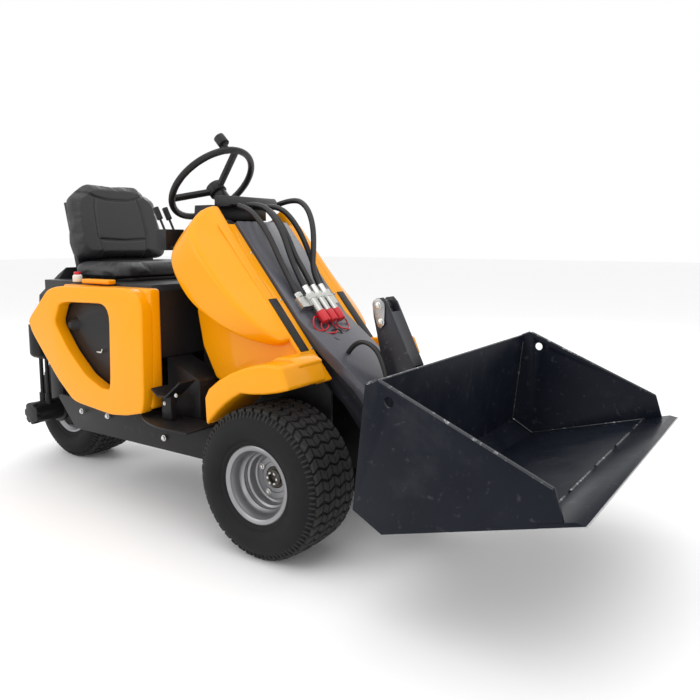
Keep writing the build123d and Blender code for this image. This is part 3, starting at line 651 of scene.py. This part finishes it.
def tyre_piece(node, body):
    """Carcass turned from its section, with zigzag tread blocks and shoulder ribs."""
    s = sizes()
    low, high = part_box(node)
    centre = (low + high) / 2
    # Width of the blocks' rows, their lean, the gaps between blocks and the fall at the tread's edge
    tread_width, lean, gap_across, gap_round = 178.0, 5.5, 2.5, 7.0
    edge_y, edge_drop, edge_tilt = 88.0, 5.0, math.radians(8.0)
    half = (high.y - low.y) / 2 / MM
    top = (high.z - low.z) / 2 / MM
    across = Vector((0, 1, 0))
    base = top - s.tread_depth
    side = [
        (104, -88), (116, -91), (122, -97), (127, -101), (131, -101), (134, -105), (150, -half + 2),
        (166, -half + 0.5), (182, -half + 2.5), (194, -half + 7), (base - 18, -99), (base - 8, -88),
        (base - 3, -66),
    ]
    profile = side + [(base, 0)] + [(r, -a) for r, a in side[::-1]]
    carcass = spun(node + "_tyre", profile, centre, across, UP, 96)
    dressed(smooth(carcass, 40), tyre_rubber(), body)
    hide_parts(node)
    columns = s.tread_columns
    pitch = 2 * math.pi / s.tread_pitches
    pitch_length = pitch * top
    width = tread_width / columns
    blocks = []
    for i in range(columns):
        y = (i + 0.5 - columns / 2) * width
        tilt = -edge_tilt * y / edge_y
        drop = edge_drop * (y / edge_y) ** 2
        size = (width - gap_across, pitch_length - gap_round, s.tread_depth * 2)
        blocks.append(tread_block(size, lean if i % 2 else -lean, y, base - drop, tilt))
    for sign in (-1, 1):
        for offset in (-0.25, 0.25):
            rib = tread_block((40, 6.5, 5), 0, sign * 99.5, base - 22, -sign * math.radians(62))
            for v in rib.data.vertices:
                v.co.x += offset * pitch_length * MM
            blocks.append(rib)
    tread = joined(node + "_tread", blocks)
    for v in tread.data.vertices:
        v.co += centre
    with editing(tread):
        bpy.ops.mesh.spin(steps=s.tread_pitches - 1, angle=2 * math.pi - pitch, center=centre, axis=across,
                          dupli=True)
    dressed(rounded(tread, 1.0, 1, 40), tread_rubber(), body)


HALF_TRACK = 300


def rim_piece(node, body, inward):
    """Rim with its rolled flange, steps and disc, four bolts and the hub's nut."""
    low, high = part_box(node)
    centre = (low + high) / 2
    centre.y = {"front_rim_right": -HALF_TRACK * MM, "front_rim_left": HALF_TRACK * MM}.get(node, 0.0)
    across = Vector((0, inward, 0))
    profile = [
        (111, -94), (114.5, -95), (117.5, -93), (117.5, -90), (113, -88.5), (106, -88), (103.5, -80),
        (103, -60), (98, -52), (90, -46), (84, -40), (82, 10), (84, 18), (101, 26), (103.5, 34), (103.5, 82),
        (106, 88), (113, 88.5), (117.5, 90), (117.5, 94), (114, 95), (109, 94), (100, 84), (99.5, 34),
        (97, 28), (80, 20), (78, 8), (72, 4), (66, 2), (34, 2), (34, -4), (46, -4), (48, -7), (63, -7),
        (66, -4), (72, -3), (76, -6), (78, -12), (78, -30), (84, -34), (85, -48), (92, -54), (95, -62),
        (96, -78), (100, -84), (102, -90), (107, -93), (111, -94),
    ]
    hub_profile = [
        (34, 44), (34, -2), (30, -6), (26, -6), (26, -14), (23, -16), (16, -16), (15, -4), (0.01, -4),
    ]
    wheel = smooth(spun(node + "_wheel", profile, centre, across, UP, 72), 32)
    hub = smooth(spun(node + "_hub", hub_profile, centre, across, UP, 40), 30)

    def round_hub(count, first, radius, outward):
        """Angle and point of each of several places round the hub, in millimetres."""
        for k in range(count):
            angle = math.radians(first) + 2 * math.pi * k / count
            out = Vector((math.cos(angle), 0, math.sin(angle)))
            yield angle, centre + out * (radius * MM) - across * (outward * MM)

    bolts = copies(node + "_bolts", bolt_model(8), [(point, -across) for _, point in round_hub(4, 63, 56, 7)])
    nut = [block("tooth", point, (6.5, 7, 8.5), (0, -angle, 0)) for angle, point in round_hub(6, 0, 17.5, 17)]
    teeth = rounded(joined(node + "_nut", nut), 0.8, 1)
    dressed(wheel, rim_paint(), body)
    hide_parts(node)
    dressed(hub, hub_casting(), body)
    dressed(bolts, zinc(), body)
    dressed(teeth, zinc(), body)


def puffed(obj, voxel, pressure, cap, frames=16):
    """Remesh and blow up a pad with cloth pressure, each point moved at most cap millimetres."""
    pick(obj)
    remesh = obj.modifiers.new("Even mesh", "REMESH")
    remesh.mode = "VOXEL"
    remesh.voxel_size = voxel * MM
    remesh.use_smooth_shade = True
    finish_modifiers(obj)
    rest = [v.co.copy() for v in obj.data.vertices]
    scene = bpy.context.scene
    cloth = obj.modifiers.new("Pressure", "CLOTH")
    cloth.settings.use_pressure = True
    cloth.settings.uniform_pressure_force = pressure
    cloth.settings.effector_weights.gravity = 0.0
    cloth.settings.quality = 4
    cloth.collision_settings.use_collision = False
    cloth.point_cache.frame_start = 1
    cloth.point_cache.frame_end = frames
    for number in range(1, frames + 1):
        scene.frame_set(number)
        bpy.context.view_layer.update()
    finish_modifiers(obj)
    scene.frame_set(1)
    for v, old in zip(obj.data.vertices, rest):
        move = v.co - old
        if move.length > cap * MM:
            v.co = old + move * (cap * MM / move.length)
    return obj


def pressed_seams(obj, seams, depth, width, normal):
    """Sinks the surface that faces along normal beside each seam line, in millimetres."""
    normal = Vector(normal).normalized()
    for v in obj.data.vertices:
        facing = v.normal.dot(normal)
        if facing < 0.15:
            continue
        nearest = 1e9
        for a, b in seams:
            ab = b - a
            flat = v.co - a
            flat -= normal * flat.dot(normal)
            ab_flat = ab - normal * ab.dot(normal)
            t = max(0.0, min(1.0, flat.dot(ab_flat) / ab_flat.length_squared))
            nearest = min(nearest, (flat - ab_flat * t).length / MM)
        if nearest < 3 * width:
            fall = math.exp(-(nearest / width) ** 2)
            v.co -= normal * (depth * MM * fall)
    return obj


# Operators
class LOADER_OT_stage(bpy.types.Operator):
    """Floor, soft lamps and the camera"""

    bl_idname = "loader.stage"
    bl_label = "Stage"

    def execute(self, context):
        deselect()
        bpy.ops.mesh.primitive_plane_add(size=60, location=(0, 0, 0))
        floor = bpy.context.object
        floor.name = "floor"
        paint = bpy.data.materials.new("Pale floor")
        paint.use_nodes = True
        tree = paint.node_tree
        shader = tree.nodes["Principled BSDF"]
        shader.inputs["Base Color"].default_value = (0.98, 0.98, 0.98, 1)
        shader.inputs["Roughness"].default_value = 0.9
        shader.inputs["Specular IOR Level"].default_value = 0.1
        floor.data.materials.append(paint)
        # Columns: name, place, side in metres, power in watts, the point it shines on
        lamps = (
            ("Top lamp", (0.3, -0.6, 4.6), 5.0, 70.0, (0, 0, 0.4)),
            ("Left lamp", (-2.6, -4.2, 2.6), 3.0, 42.0, (-0.2, 0, 0.5)),
            ("Front lamp", (4.4, -2.2, 2.2), 3.0, 32.0, (0.2, 0, 0.5)),
            ("Back lamp", (-2.5, 4.0, 3.0), 3.0, 40.0, (0, 0, 0.6)),
        )
        for name, place, size, power, target in lamps:
            bpy.ops.object.light_add(type="AREA", location=place)
            lamp = bpy.context.object
            lamp.name = name
            lamp.data.size = size
            lamp.data.energy = power
            lamp.rotation_euler = (Vector(target) - Vector(place)).to_track_quat("-Z", "Y").to_euler()
        world = bpy.data.worlds.new("Studio")
        context.scene.world = world
        world.use_nodes = True
        tree = world.node_tree
        white = (1, 1, 1, 1)
        plain = tree.nodes["Background"]
        plain.inputs["Color"].default_value = white
        plain.inputs["Strength"].default_value = 0.95
        # The background as the camera, metal and glass see it
        seen = node_of(tree, "ShaderNodeBackground", in_Color=white, in_Strength=1.0)
        path = node_of(tree, "ShaderNodeLightPath")
        mixed = node_of(tree, "ShaderNodeMixShader")
        seen_by = path.outputs["Is Camera Ray"]
        for ray in ("Is Glossy Ray", "Is Transmission Ray"):
            seen_by = maths(tree, "MAXIMUM", seen_by, path.outputs[ray])
        tree.links.new(seen_by, mixed.inputs[0])
        tree.links.new(plain.outputs[0], mixed.inputs[1])
        tree.links.new(seen.outputs[0], mixed.inputs[2])
        tree.links.new(mixed.outputs[0], tree.nodes["World Output"].inputs["Surface"])
        azimuth, pitch = math.radians(34.37), math.radians(7.16)
        level = math.cos(pitch)
        look = Vector((-math.sin(azimuth) * level, math.cos(azimuth) * level, -math.sin(pitch)))
        bpy.ops.object.camera_add(location=at(1310, -1855, 935))
        camera = bpy.context.object
        camera.name = "Camera"
        camera.rotation_euler = look.to_track_quat("-Z", "Y").to_euler()
        camera.data.sensor_width = 36.0
        camera.data.lens = 35.87
        camera.data.shift_x = 0.0089
        camera.data.shift_y = -0.0323
        context.scene.camera = camera
        context.scene.view_settings.view_transform = "Standard"
        return {"FINISHED"}


class LOADER_OT_wheels(bpy.types.Operator):
    """Three tyres with their tread, and the rims with bolts and nuts"""

    bl_idname = "loader.wheels"
    bl_label = "Wheels"

    def execute(self, context):
        tyre_piece("front_tyre_right", "front_wheel_right")
        tyre_piece("front_tyre_left", "front_wheel_left")
        tyre_piece("rear_tyre", "rear_wheel")
        rim_piece("front_rim_right", "front_wheel_right", 1)
        rim_piece("front_rim_left", "front_wheel_left", -1)
        rim_piece("rear_rim", "rear_wheel", -1)
        return {"FINISHED"}


class LOADER_OT_plain_pieces(bpy.types.Operator):
    """Frame, boom, bodywork and bucket pieces with their edges rounded"""

    bl_idname = "loader.plain_pieces"
    bl_label = "Plain pieces"

    def execute(self, context):
        grey, black, plastic = frame_paint(), black_paint(), black_plastic()
        # Columns: node, edge radius, material, body, slot
        table = (
            ("front_wheel_motors", 2, black, "chassis", "motor_black"),
            ("rear_wheel_motor", 2, black, "rear_fork", "motor_black"),
            ("control_valve", 2, black, "chassis", "motor_black"),
            ("steering_column", 4, black, "chassis", "motor_black"),
            ("drive_pedal", 1.5, black, "chassis", "motor_black"),
            ("chassis_tray", 2, grey, "chassis", "frame_grey"),
            ("tower_frame", 2, grey, "chassis", "frame_grey"),
            ("rear_frame", 2, grey, "chassis", "frame_grey"),
            ("rear_fork", 3, black, "rear_fork", "frame_grey"),
            ("footwell_boxes", 4, grey, "chassis", "frame_grey"),
            ("foot_plates", 1.5, grey, "chassis", "frame_grey"),
            ("boom_pin", 1, bare_steel(), "chassis", "pin_steel"),
            ("engine", 6, black, "chassis", "engine_grey"),
            ("inset_panels", 2, plastic, "chassis", "panel_black"),
            ("seat_base", 1.5, plastic, "chassis", "panel_black"),
            ("rear_hood", 5, plastic, "chassis", "panel_black"),
            ("hose_box", 3, plastic, "chassis", "panel_black"),
            ("canister", 2, plastic, "chassis", "panel_black"),
            ("seat_pan", 2, plastic, "chassis", "panel_black"),
            ("wing_strips", 0.8, plastic, "chassis", "panel_black"),
            ("boom", 2, boom_paint(), "boom", "boom_grey"),
            ("tilt_post", 1.5, boom_paint(), "boom", "boom_grey"),
            ("coupler", 2, boom_paint(), "bucket", "boom_grey"),
            ("boom_cover", 2, cover_paint(), "boom", "cover_grey"),
            ("bucket", 2, bucket_paint(), "bucket", "bucket_blue_black"),
            ("cutting_edge", 1.5, bucket_paint(), "bucket", "edge_steel"),
            ("lift_barrel", 1.5, black, "lift_barrel", "barrel_black"),
            ("tilt_barrel", 1.5, black, "tilt_barrel", "barrel_black"),
            ("lift_rod", 1, chrome(), "lift_rod", "rod_chrome"),
            ("tilt_rod", 1, chrome(), "tilt_rod", "rod_chrome"),
            ("steering_wheel", 3, plastic, "steering_wheel", "wheel_black"),
            ("rear_cowl", 5, yellow_gloss(), "chassis", "body_yellow"),
            ("couplings", 1, zinc(), "boom", "coupling_steel"),
            ("coupling_caps", 1.5, red_plastic(), "boom", "cap_red"),
        )
        for node, width, paint, body, slot in table:
            dressed(softened(node, width), paint, body)
        return {"FINISHED"}


def mirrored(obj, name):
    """The piece's partner on the other side of the machine."""
    other = pick(linked(name, obj.data.copy()))
    other.scale = (1, -1, 1)
    applied(other)
    with editing(other):
        bpy.ops.mesh.normals_make_consistent(inside=False)
    return other


def pierced_plate(name, outline, hole, thickness):
    """Flat plate with a hole in it, both given as loops of points."""
    rims = [drawn(name, outline), drawn(name + "_hole", hole)]
    for rim in rims:
        with editing(rim):
            bpy.ops.mesh.edge_face_add()
            bpy.ops.mesh.delete(type="ONLY_FACE")
    obj = joined(name, rims)
    with editing(obj):
        bpy.ops.mesh.fill()
        bpy.ops.mesh.dissolve_limited(angle_limit=0.01)
        bpy.ops.mesh.extrude_region_move(TRANSFORM_OT_translate={"value": thickness})
    return outwards(obj)


def curved(points, reach=0.35, steps=5):
    """Closed loop of points with its corners rounded, reach being the share of each side used."""
    made = []
    count = len(points)
    for i, corner in enumerate(points):
        before, after = points[i - 1], points[(i + 1) % count]
        start = corner.lerp(before, reach)
        end = corner.lerp(after, reach)
        for k in range(steps + 1):
            t = k / steps
            made.append(start * (1 - t) ** 2 + corner * (2 * t * (1 - t)) + end * t ** 2)
    return made


def subdivided(obj, levels):
    """Finer mesh with a soft surface, shaded smooth."""
    subdivision = obj.modifiers.new("Soft", "SUBSURF")
    subdivision.levels = levels
    subdivision.render_levels = levels
    finish_modifiers(obj)
    bpy.ops.object.shade_smooth()
    return obj


def smooth_loft(name, sections):
    """Skin over closed rings of equally many points, made soft by subdivision."""
    obj = drawn(name, sections[0])
    with editing(obj):
        bpy.ops.mesh.edge_face_add()
        bpy.ops.mesh.delete(type="ONLY_FACE")
    mesh = obj.data
    count = len(sections[0])
    for section in sections[1:]:
        # Faces that are still selected are let go by one visit to edit mode
        with editing(obj, select=False):
            pass
        for v in mesh.vertices:
            v.select = v.index >= len(mesh.vertices) - count
        for e in mesh.edges:
            e.select = all(mesh.vertices[i].select for i in e.vertices)
        pick(obj)
        bpy.ops.object.mode_set(mode="EDIT")
        bpy.ops.mesh.select_mode(type="EDGE")
        bpy.ops.mesh.extrude_region_move()
        bpy.ops.object.mode_set(mode="OBJECT")
        for v, point in zip(mesh.vertices[-count:], section):
            v.co = point
    with editing(obj, "EDGE", select=False):
        bpy.ops.mesh.select_non_manifold()
        bpy.ops.mesh.edge_face_add()
    outwards(obj)
    return subdivided(obj, 2)


def side_points(points, y):
    return [at(x, y, z) for x, z in points]


class LOADER_OT_panels(bpy.types.Operator):
    """Yellow rear panels with their windows, and the small fittings beside them"""

    bl_idname = "loader.panels"
    bl_label = "Rear panels"

    def execute(self, context):
        inner_y, thickness = -338, 50
        outline = [
            (-975, 772), (-480, 780), (-485, 372), (-580, 350), (-660, 342), (-863, 362), (-953, 433),
            (-1100, 592), (-1122, 640),
        ]
        window = [(-920, 716), (-645, 722), (-655, 430), (-705, 430), (-790, 465), (-884, 546), (-958, 640)]
        face = pierced_plate("panel", curved(side_points(outline, inner_y), 0.2),
                             curved(side_points(window, inner_y), 0.22), Vector((0, -thickness * MM, 0)))
        rounded(face, 17, 5, 40)
        fold = block("fold", at(-504, -327, 576), (42, 54, 400))
        rounded(fold, 14, 4)
        shelf = block("shelf", at(-725, -328, 768), (440, 46, 16))
        rounded(shelf, 6, 3)
        right = joined("panel_right", [face, fold, shelf])
        left = mirrored(right, "panel_left")
        dressed(smooth(right, 40), yellow_gloss(), "chassis")
        dressed(smooth(left, 40), yellow_gloss(), "chassis")
        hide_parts("rear_panel_right")
        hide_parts("rear_panel_left")
        latch = rounded(joined("latch", [
            block("latch", at(-757, -348, 545), (26, 4, 5)),
            block("latch", at(-742, -348, 551), (5, 4, 14), (0, 0.5, 0)),
        ]), 1)
        dressed(latch, zinc(), "chassis")
        for name, profile, edge, paint in (
            ("filler", [(0.01, 0), (17, 0), (17, 20), (13, 26), (0.01, 26)], 2, white_moulding()),
            ("filler_cap", [(0.01, 26), (12, 26), (12, 36), (0.01, 36)], 1.5, red_plastic()),
        ):
            turned = spun(name, profile, at(-905, -318, 785), UP, Vector((1, 0, 0)), 32)
            dressed(rounded(turned, edge), paint, "chassis")
        ledge = rounded(block("ledge", at(-780, -322, 790), (150, 34, 16)), 5, 3)
        dressed(ledge, yellow_gloss(), "chassis")
        return {"FINISHED"}


class LOADER_OT_wings(bpy.types.Operator):
    """Yellow wings: moulded pods, flat strips with screws, skirts and fenders"""

    bl_idname = "loader.wings"
    bl_label = "Wings"

    def execute(self, context):
        # Columns: place down the slope, the strip's edge, crease y and out, lower edge y and out,
        # the scoop's depth and its y
        table = (
            (-196, 184, 214, -22, 214, -96, 0, 198), (-176, 186, 246, -34, 246, -130, 6, 215),
            (-140, 190, 290, -58, 286, -190, 18, 235), (-90, 192, 303, -62, 297, -205, 26, 243),
            (-30, 196, 306, -62, 299, -212, 14, 235), (45, 200, 305, -60, 297, -212, 12, 225),
            (130, 204, 303, -52, 292, -182, 16, 222), (205, 205, 298, -40, 286, -147, 6, 235),
            (270, 206, 282, -29, 268, -108, 2, 235), (320, 208, 256, -18, 246, -66, 0, 230),
            (346, 210, 236, -12, 232, -40, 0, 222),
        )
        inner = 158
        sections = []
        for along, strip, crease, crease_out, low, low_out, dip, dip_y in table:
            ring = (
                (inner, 0), ((inner + strip) / 2, 1), (strip, 0.5), (strip + 7, -3),
                (dip_y, crease_out * (dip_y - strip) / (crease - strip) * 0.5 - dip),
                ((dip_y + crease) / 2, crease_out * 0.62 - dip * 0.25), (crease - 12, crease_out * 0.86 + 3),
                (crease, crease_out), (crease + 1, crease_out - 12),
                ((crease + low) / 2 + 1, (crease_out + low_out) / 2),
                (low, low_out + 14), (low - 8, low_out), ((inner + low) / 2, low_out), (inner, low_out),
            )
            sections.append([slope_at(along, -y, out) for y, out in ring])
        pod = smooth_loft("pod", sections)

        strip_line = [slope_at(a, -138, out) for a, out in ((-112, 0), (505, 0), (505, -12), (-112, -12))]
        strip = rounded(plate("strip", strip_line, Vector((0, -74 * MM, 0))), 3, 3)
        skirt_y = -156
        skirt_line = [slope_at(0, skirt_y, -3), slope_at(500, skirt_y, -3)]
        skirt_line += side_points([(60, 500), (-207, 440), (-340, 472), (-398, 579), (-422, 693)], skirt_y)
        skirt_line.append(slope_at(-115, skirt_y, -150))
        skirt = rounded(plate("skirt", skirt_line, Vector((0, -49 * MM, 0))), 16, 5, 25)
        top = [
            (-203, 373), (-207, 461), (-190, 490), (-148, 521), (-100, 547), (-59, 563), (-20, 576), (20, 585),
            (60, 588), (95, 585), (122, 522),
        ]
        # The wheel arch: two shallow curves, from the fender's front end back to its rear end
        arch = [(122 - 183 * t, 522 - 32 * t - 30 * t * (1 - t)) for t in (0.25, 0.5, 0.75, 1.0)]
        arch += [(-61 - 125 * t, 490 - 98 * t + 38 * t * (1 - t)) for t in (0.25, 0.5, 0.75)] + [(-186, 392)]
        fender = plate("fender", side_points(top + arch, -201), Vector((0, -186 * MM, 0)))
        rounded(fender, 15, 5, 38)
        crown_line = [(-20, 572), (20, 596), (70, 598), (104, 582), (96, 560), (20, 560)]
        crown = rounded(plate("crown", side_points(crown_line, -199), Vector((0, -118 * MM, 0))), 8, 4, 20)
        right = smooth(joined("wing_right_body", [pod, strip, skirt, fender, crown]), 45)
        left = smooth(mirrored(right, "wing_left_body"), 45)
        for obj, node in ((right, "wing_right"), (left, "wing_left")):
            dressed(obj, yellow_gloss(), "chassis")
            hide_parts(node)
        screws = ((11, 147), (202, 147), (389, 145))
        places = [(slope_at(a, y * side, 0), OFF_SLOPE) for side in (-1, 1) for a, y in screws]
        dressed(copies("wing_screws", screw_model(4.5), places), zinc(), "chassis")
        return {"FINISHED"}


class LOADER_OT_fittings(bpy.types.Operator):
    """Bolts of the frame, cap lanyards, retainers and the bucket's welds"""

    bl_idname = "loader.fittings"
    bl_label = "Fittings"

    def execute(self, context):
        side_bolts = ((-784, 303), (-486, 270), (-935, 300))
        places = [(at(x, side * 306, z), (0, side, 0)) for side in (-1, 1) for x, z in side_bolts]
        dressed(copies("frame_bolts", bolt_model(8), places), zinc(), "chassis")
        # Bracket plate behind the pedal, the pedal's stand and their bolts
        bracket = rounded(joined("pedal_bracket", [
            block("plate", at(-508, -318, 470), (6, 60, 150)),
            block("stand", at(-422, -334, 392), (44, 26, 80)),
        ]), 2)
        dressed(bracket, frame_paint(), "chassis")
        plate_bolts = ((-300, 531), (-302, 475), (-335, 475), (-330, 515))
        small = [(at(-505, y, z), (1, 0, 0)) for y, z in plate_bolts]
        small += [(at(-430, -347, 405), (0, -1, 0)), (at(-346, -372, 447), (0, -1, 0))]
        dressed(copies("pedal_bolts", bolt_model(5), small), zinc(), "chassis")
        # Red loops that tie the caps, and a loose black ring
        for number, (centre_a, centre_y, radius, paint) in enumerate((
            (322, -70, 34, red_plastic()), (338, -34, 36, red_plastic()), (338, 50, 30, red_plastic()),
            (376, -22, 30, hose_rubber()),
        )):
            ring = []
            for k in range(14):
                angle = 2 * math.pi * k / 13
                ring.append(slope_at(
                    centre_a + radius * math.cos(angle) * 0.8, centre_y + radius * math.sin(angle),
                    26 + 6 * math.sin(angle * 2 + number),
                ))
            loop = tube(f"loop_{number}", ring, 2.6, sides=3)
            dressed(loop, paint, "boom")
        # Retainer on the post's near ear
        base = at(195, -35, 730)
        teardrop = plate("retainer", curved([base + Vector((x * MM, 0, z * MM)) for x, z in (
            (-22, 8), (-14, 24), (6, 28), (22, 14), (24, -6), (22, -50), (10, -66), (-2, -60))], 0.35, 3),
            Vector((0, -5 * MM, 0)))
        dressed(rounded(teardrop, 1), bare_steel(), "boom")
        bolt_places = [(base + Vector((x * MM, -5 * MM, z * MM)), (0, -1, 0)) for x, z in ((2, 4), (12, -46))]
        dressed(copies("retainer_bolts", bolt_model(9), bolt_places), zinc(), "boom")
        # Bright edges and welds of the bucket
        half = 513.5
        # The upper edge of the bucket's sides, from the back to the front
        line = ((452, 603), (486, 615), (901, 442))
        edges = []
        for y in (-half + 4, half - 4):
            for (x0, z0), (x1, z1) in zip(line, line[1:]):
                edges.append(bar("worn", at(x0 + 3, y, z0 - 1.5), at(x1 - 3, y, z1 - 1.5), 4.6, 8))
        edges.append(bar("worn", at(455, -half + 8, 601), at(455, half - 8, 601), 3.6, 8))
        # Stitch welds behind the cutting edge, then the seams of the sides with the back and the floor
        for y0, y1 in ((-505, -330), (-290, -120), (-70, 90), (140, 300), (350, 505)):
            edges.append(bar("weld", at(868, y0, 361), at(868, y1, 361), 4, 8))
        for x0, z0, x1, z1 in ((460, 580, 430, 300), (430, 300, 503, 258), (503, 258, 868, 361)):
            for y in (-half + 10, half - 10):
                edges.append(bar("seam", at(x0, y, z0), at(x1, y, z1), 3, 8))
        dressed(smooth(joined("bucket_edges", edges), 60), rubbed_edge(), "bucket")
        tip_low, tip_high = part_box("cutting_edge")
        lip = block("edge_tip", Vector((tip_high.x - 0.013, 0, tip_high.z - 0.0078)), (27, 1026, 3.0),
                    (0, -math.radians(15.7), 0))
        dressed(lip, bare_steel(), "bucket")
        return {"FINISHED"}


class LOADER_OT_seat(bpy.types.Operator):
    """Seat cushion and back in black vinyl, with their seams"""

    bl_idname = "loader.seat"
    bl_label = "Seat"

    def execute(self, context):
        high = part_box("seat_cushion")[1]
        # The back leans 0.24 in one
        tilt = math.atan(0.24)
        up = Vector((-math.sin(tilt), 0, math.cos(tilt)))
        foot = at(-1082 + 58, 0, 847)

        def back_point(y, height):
            return foot + up * (height * MM) + Vector((0, y * MM, 0))

        def cushion_point(y, x):
            return Vector((at(x, 0, 0).x, y * MM, high.z))

        def seams_of(place, both_sides, across):
            """Pairs of points along the seam lines, the first lines made on both sides of the middle."""
            chains = [[(side * y, h) for y, h in line] for side in (-1, 1) for line in both_sides]
            chains += across
            placed = [[place(*p) for p in line] for line in chains]
            return [pair for line in placed for pair in zip(line, line[1:])]

        back_seams = seams_of(
            back_point,
            (((100, 20), (118, 110), (112, 215), (100, 262)), ((100, 262), (140, 280), (165, 286))),
            (((-100, 262), (-50, 252), (50, 252), (100, 262)), ((-116, 92), (0, 86), (116, 92))),
        )
        cushion_seams = seams_of(
            cushion_point, (((120, -1040), (128, -900), (120, -790)),),
            (((-240, -790), (-110, -800), (0, -815), (110, -800), (240, -790)),),
        )
        # Columns: node, the most that a point may move in millimetres, seams, the way they face
        for node, cap, seams, normal in (
            ("seat_cushion", 9, cushion_seams, (0, 0, 1)),
            ("seat_back", 9, back_seams, (math.cos(tilt), 0, math.sin(tilt))),
        ):
            obj = cad_copy(node + "_pad", node)
            with editing(obj):
                bpy.ops.transform.shrink_fatten(value=-3 * MM)
            puffed(obj, 5, 4.0, cap)
            pressed_seams(subdivided(obj, 1), seams, 6, 5, normal)
            dressed(obj, vinyl(), "chassis")
            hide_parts(node)
        return {"FINISHED"}


class LOADER_OT_hoses(bpy.types.Operator):
    """Hydraulic hoses over the boom and to the tilt cylinder"""

    bl_idname = "loader.hoses"
    bl_label = "Hoses"

    def execute(self, context):
        coupling_out = 38.0
        # Columns: y at the box, y at the coupling, height of the arch
        routes = ((-98, -84, 62), (-56, -50, 92), (-16, -8, 74), (96, 34, 140), (40, 72, 84))
        # Columns: place down the slope, share of the height, share of the way across
        shares = ((-172, 0.30, 0.0), (-138, 0.80, 0.06), (-78, 1.0, 0.2), (-5, 0.92, 0.45), (65, 0.66, 0.75))
        hoses = []
        for number, (start_y, end_y, height) in enumerate(routes):
            points = [slope_at(a, start_y + (end_y - start_y) * t, max(24, height * h)) for a, h, t in shares]
            if end_y in (-84, 72):
                points += [slope_at(140, end_y, 28), slope_at(198, end_y, 22)]
            else:
                points += [slope_at(130, end_y, coupling_out + 6), slope_at(184, end_y, coupling_out)]
            hoses.append(tube(f"boom_hose_{number}", points, 9.5))
        bundle = joined("boom_hose_bundle", hoses)
        bundle.data.materials.clear()
        bundle.data.materials.append(hose_rubber())
        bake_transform(bundle)
        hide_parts("boom_hoses")
        route = [(98, -56, 583), (118, -58, 612), (172, -62, 628), (232, -62, 575), (262, -62, 432)]
        tilt = tube("tilt_hose_line", [at(*p) for p in route], 8)
        dressed(tilt, hose_rubber(), "boom")
        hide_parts("tilt_hose")
        return {"FINISHED"}


class LoaderSizes(bpy.types.PropertyGroup):
    """Sizes a user may change"""

    tread_depth: FloatProperty(
        name="Tread depth", description="Height of the tread blocks in millimetres", default=7.0,
    )
    tread_columns: IntProperty(name="Tread columns", description="Blocks across the tread", default=7)
    tread_pitches: IntProperty(name="Tread pitches", description="Blocks round the tyre", default=44)


def colour_value(name, description, default):
    return FloatVectorProperty(
        name=name, description="Colour of the " + description, subtype="COLOR", default=default,
    )


class LoaderColours(bpy.types.PropertyGroup):
    """Colours a user may change"""

    body: colour_value("Bodywork", "yellow panels", (0.87, 0.335, 0.0))
    frame: colour_value("Frame", "painted frame", (0.012, 0.012, 0.013))
    boom: colour_value("Boom", "boom and post", (0.022, 0.023, 0.029))
    cover: colour_value("Boom cover", "sheet on the boom", (0.075, 0.076, 0.092))
    bucket: colour_value("Bucket", "bucket", (0.006, 0.008, 0.014))
    tyre: colour_value("Tyres", "tyres", (0.011, 0.0115, 0.0125))
    rim: colour_value("Rims", "rims", (0.3, 0.3, 0.31))
    seat: colour_value("Seat", "seat's cover", (0.016, 0.016, 0.018))


OPERATORS = (
    LOADER_OT_stage, LOADER_OT_wheels, LOADER_OT_plain_pieces, LOADER_OT_panels, LOADER_OT_wings,
    LOADER_OT_seat, LOADER_OT_hoses, LOADER_OT_fittings,
)


class LOADER_PT_panel(bpy.types.Panel):
    """Builders and values of the mini loader"""

    bl_idname = "LOADER_PT_panel"
    bl_label = "Mini loader"
    bl_space_type = "VIEW_3D"
    bl_region_type = "UI"
    bl_category = "Mini loader"

    def draw(self, context):
        for operator in OPERATORS:
            self.layout.operator(operator.bl_idname)
        for holder in (context.scene.loader_sizes, context.scene.loader_colours):
            for name in holder.__annotations__:
                self.layout.prop(holder, name)


CLASSES = (LoaderSizes, LoaderColours, *OPERATORS, LOADER_PT_panel)


def register():
    for item in CLASSES:
        bpy.utils.register_class(item)
    bpy.types.Scene.loader_sizes = PointerProperty(type=LoaderSizes)
    bpy.types.Scene.loader_colours = PointerProperty(type=LoaderColours)


def unregister():
    del bpy.types.Scene.loader_colours
    del bpy.types.Scene.loader_sizes
    for item in reversed(CLASSES):
        bpy.utils.unregister_class(item)


def main():
    register()
    for operator in OPERATORS:
        name = operator.bl_idname.split(".")[1]
        getattr(bpy.ops.loader, name)()


if __name__ == "__main__":
    main()
